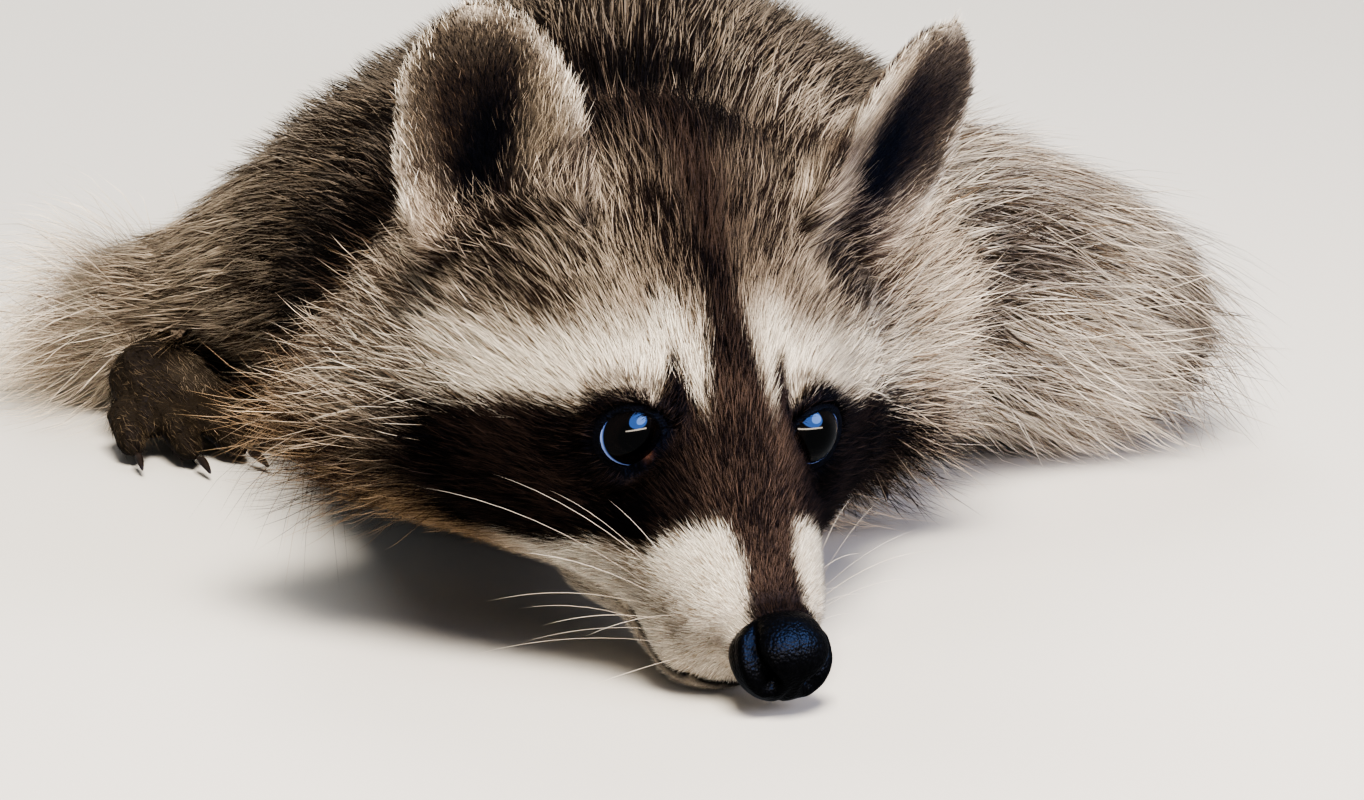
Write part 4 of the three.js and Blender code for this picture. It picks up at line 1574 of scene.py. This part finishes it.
FLOOR_HALF = 6
bm = bmesh.new()
bmesh.ops.create_grid(bm, x_segments=1, y_segments=1, size=FLOOR_HALF)
floor = placed("floor", as_mesh(bm, "floor"))
floor.data.materials.append(floor_material())
floor.visible_glossy = False  # the wet eyes and nose mirror only the lamps

# %% Light
FOCUS = Vector((0.0, -0.25, 0.06))


def lamp(name, place, size, power, colour, mirrored=False, high=None, shape="RECTANGLE"):
    """A soft lamp that faces the head. A mirrored one is seen only as a highlight on wet or glossy things."""
    light = bpy.data.lights.new(name, "AREA")
    light.shape = shape
    light.size = size
    light.size_y = high or size
    light.energy = power
    light.color = hex_colour(colour)
    ob = placed(name, light)
    ob.location = place
    ob.rotation_euler = (FOCUS - Vector(place)).to_track_quat("-Z", "Y").to_euler()
    ob.visible_glossy = mirrored
    ob.visible_diffuse = not mirrored


lamp("key_light", (0.1, -0.85, 1.35), 0.6, 57, "#fff6ea")
lamp("fill_light", (1.2, -1.0, 0.6), 0.9, 22, "#fbf6ff")
lamp("rim_light", (-0.3, 1.1, 1.2), 0.9, 22, "#ffffff")
lamp("sky_glint", (1.05, -1.2, 1.35), 2.5, 125, "#5f94f4", mirrored=True, high=1.5, shape="ELLIPSE")
lamp("cloud_glint", (1.5, -1.0, 1.5), 1.5, 40, "#9fc2ff", mirrored=True, high=0.8, shape="ELLIPSE")
lamp("horizon_glint", (0.8, -1.6, 0.6), 2.7, 26, "#fff0dc", mirrored=True, high=0.14)
world = bpy.data.worlds.new("studio")
bpy.context.scene.world = world
world.use_nodes = True
sky = world.node_tree.nodes["Background"]
sky.inputs["Color"].default_value = (*hex_colour("#e4e9f0"), 1)
sky.inputs["Strength"].default_value = 0.22
bpy.context.scene.view_settings.look = "AgX - Medium High Contrast"

# %% [markdown]
# The camera looks along the body from in front, tipped down by fifteen degrees, from a little over a
# metre away, through a long lens.

# %% Camera
CAMERA_PLACE = Vector((14.7, -1372.5, 348.3)) * MM
CAMERA_DIP = math.radians(15)
FRAME_PIXELS = 1364
FOCAL_PIXELS = 5040
SENSOR = 36  # mm
camera = bpy.data.cameras.new("camera")
camera.sensor_width = SENSOR
camera.lens = SENSOR * FOCAL_PIXELS / FRAME_PIXELS
camera_ob = placed("camera", camera)
camera_ob.location = CAMERA_PLACE
camera_ob.rotation_euler = (math.radians(90) - CAMERA_DIP, 0, 0)
bpy.context.scene.camera = camera_ob
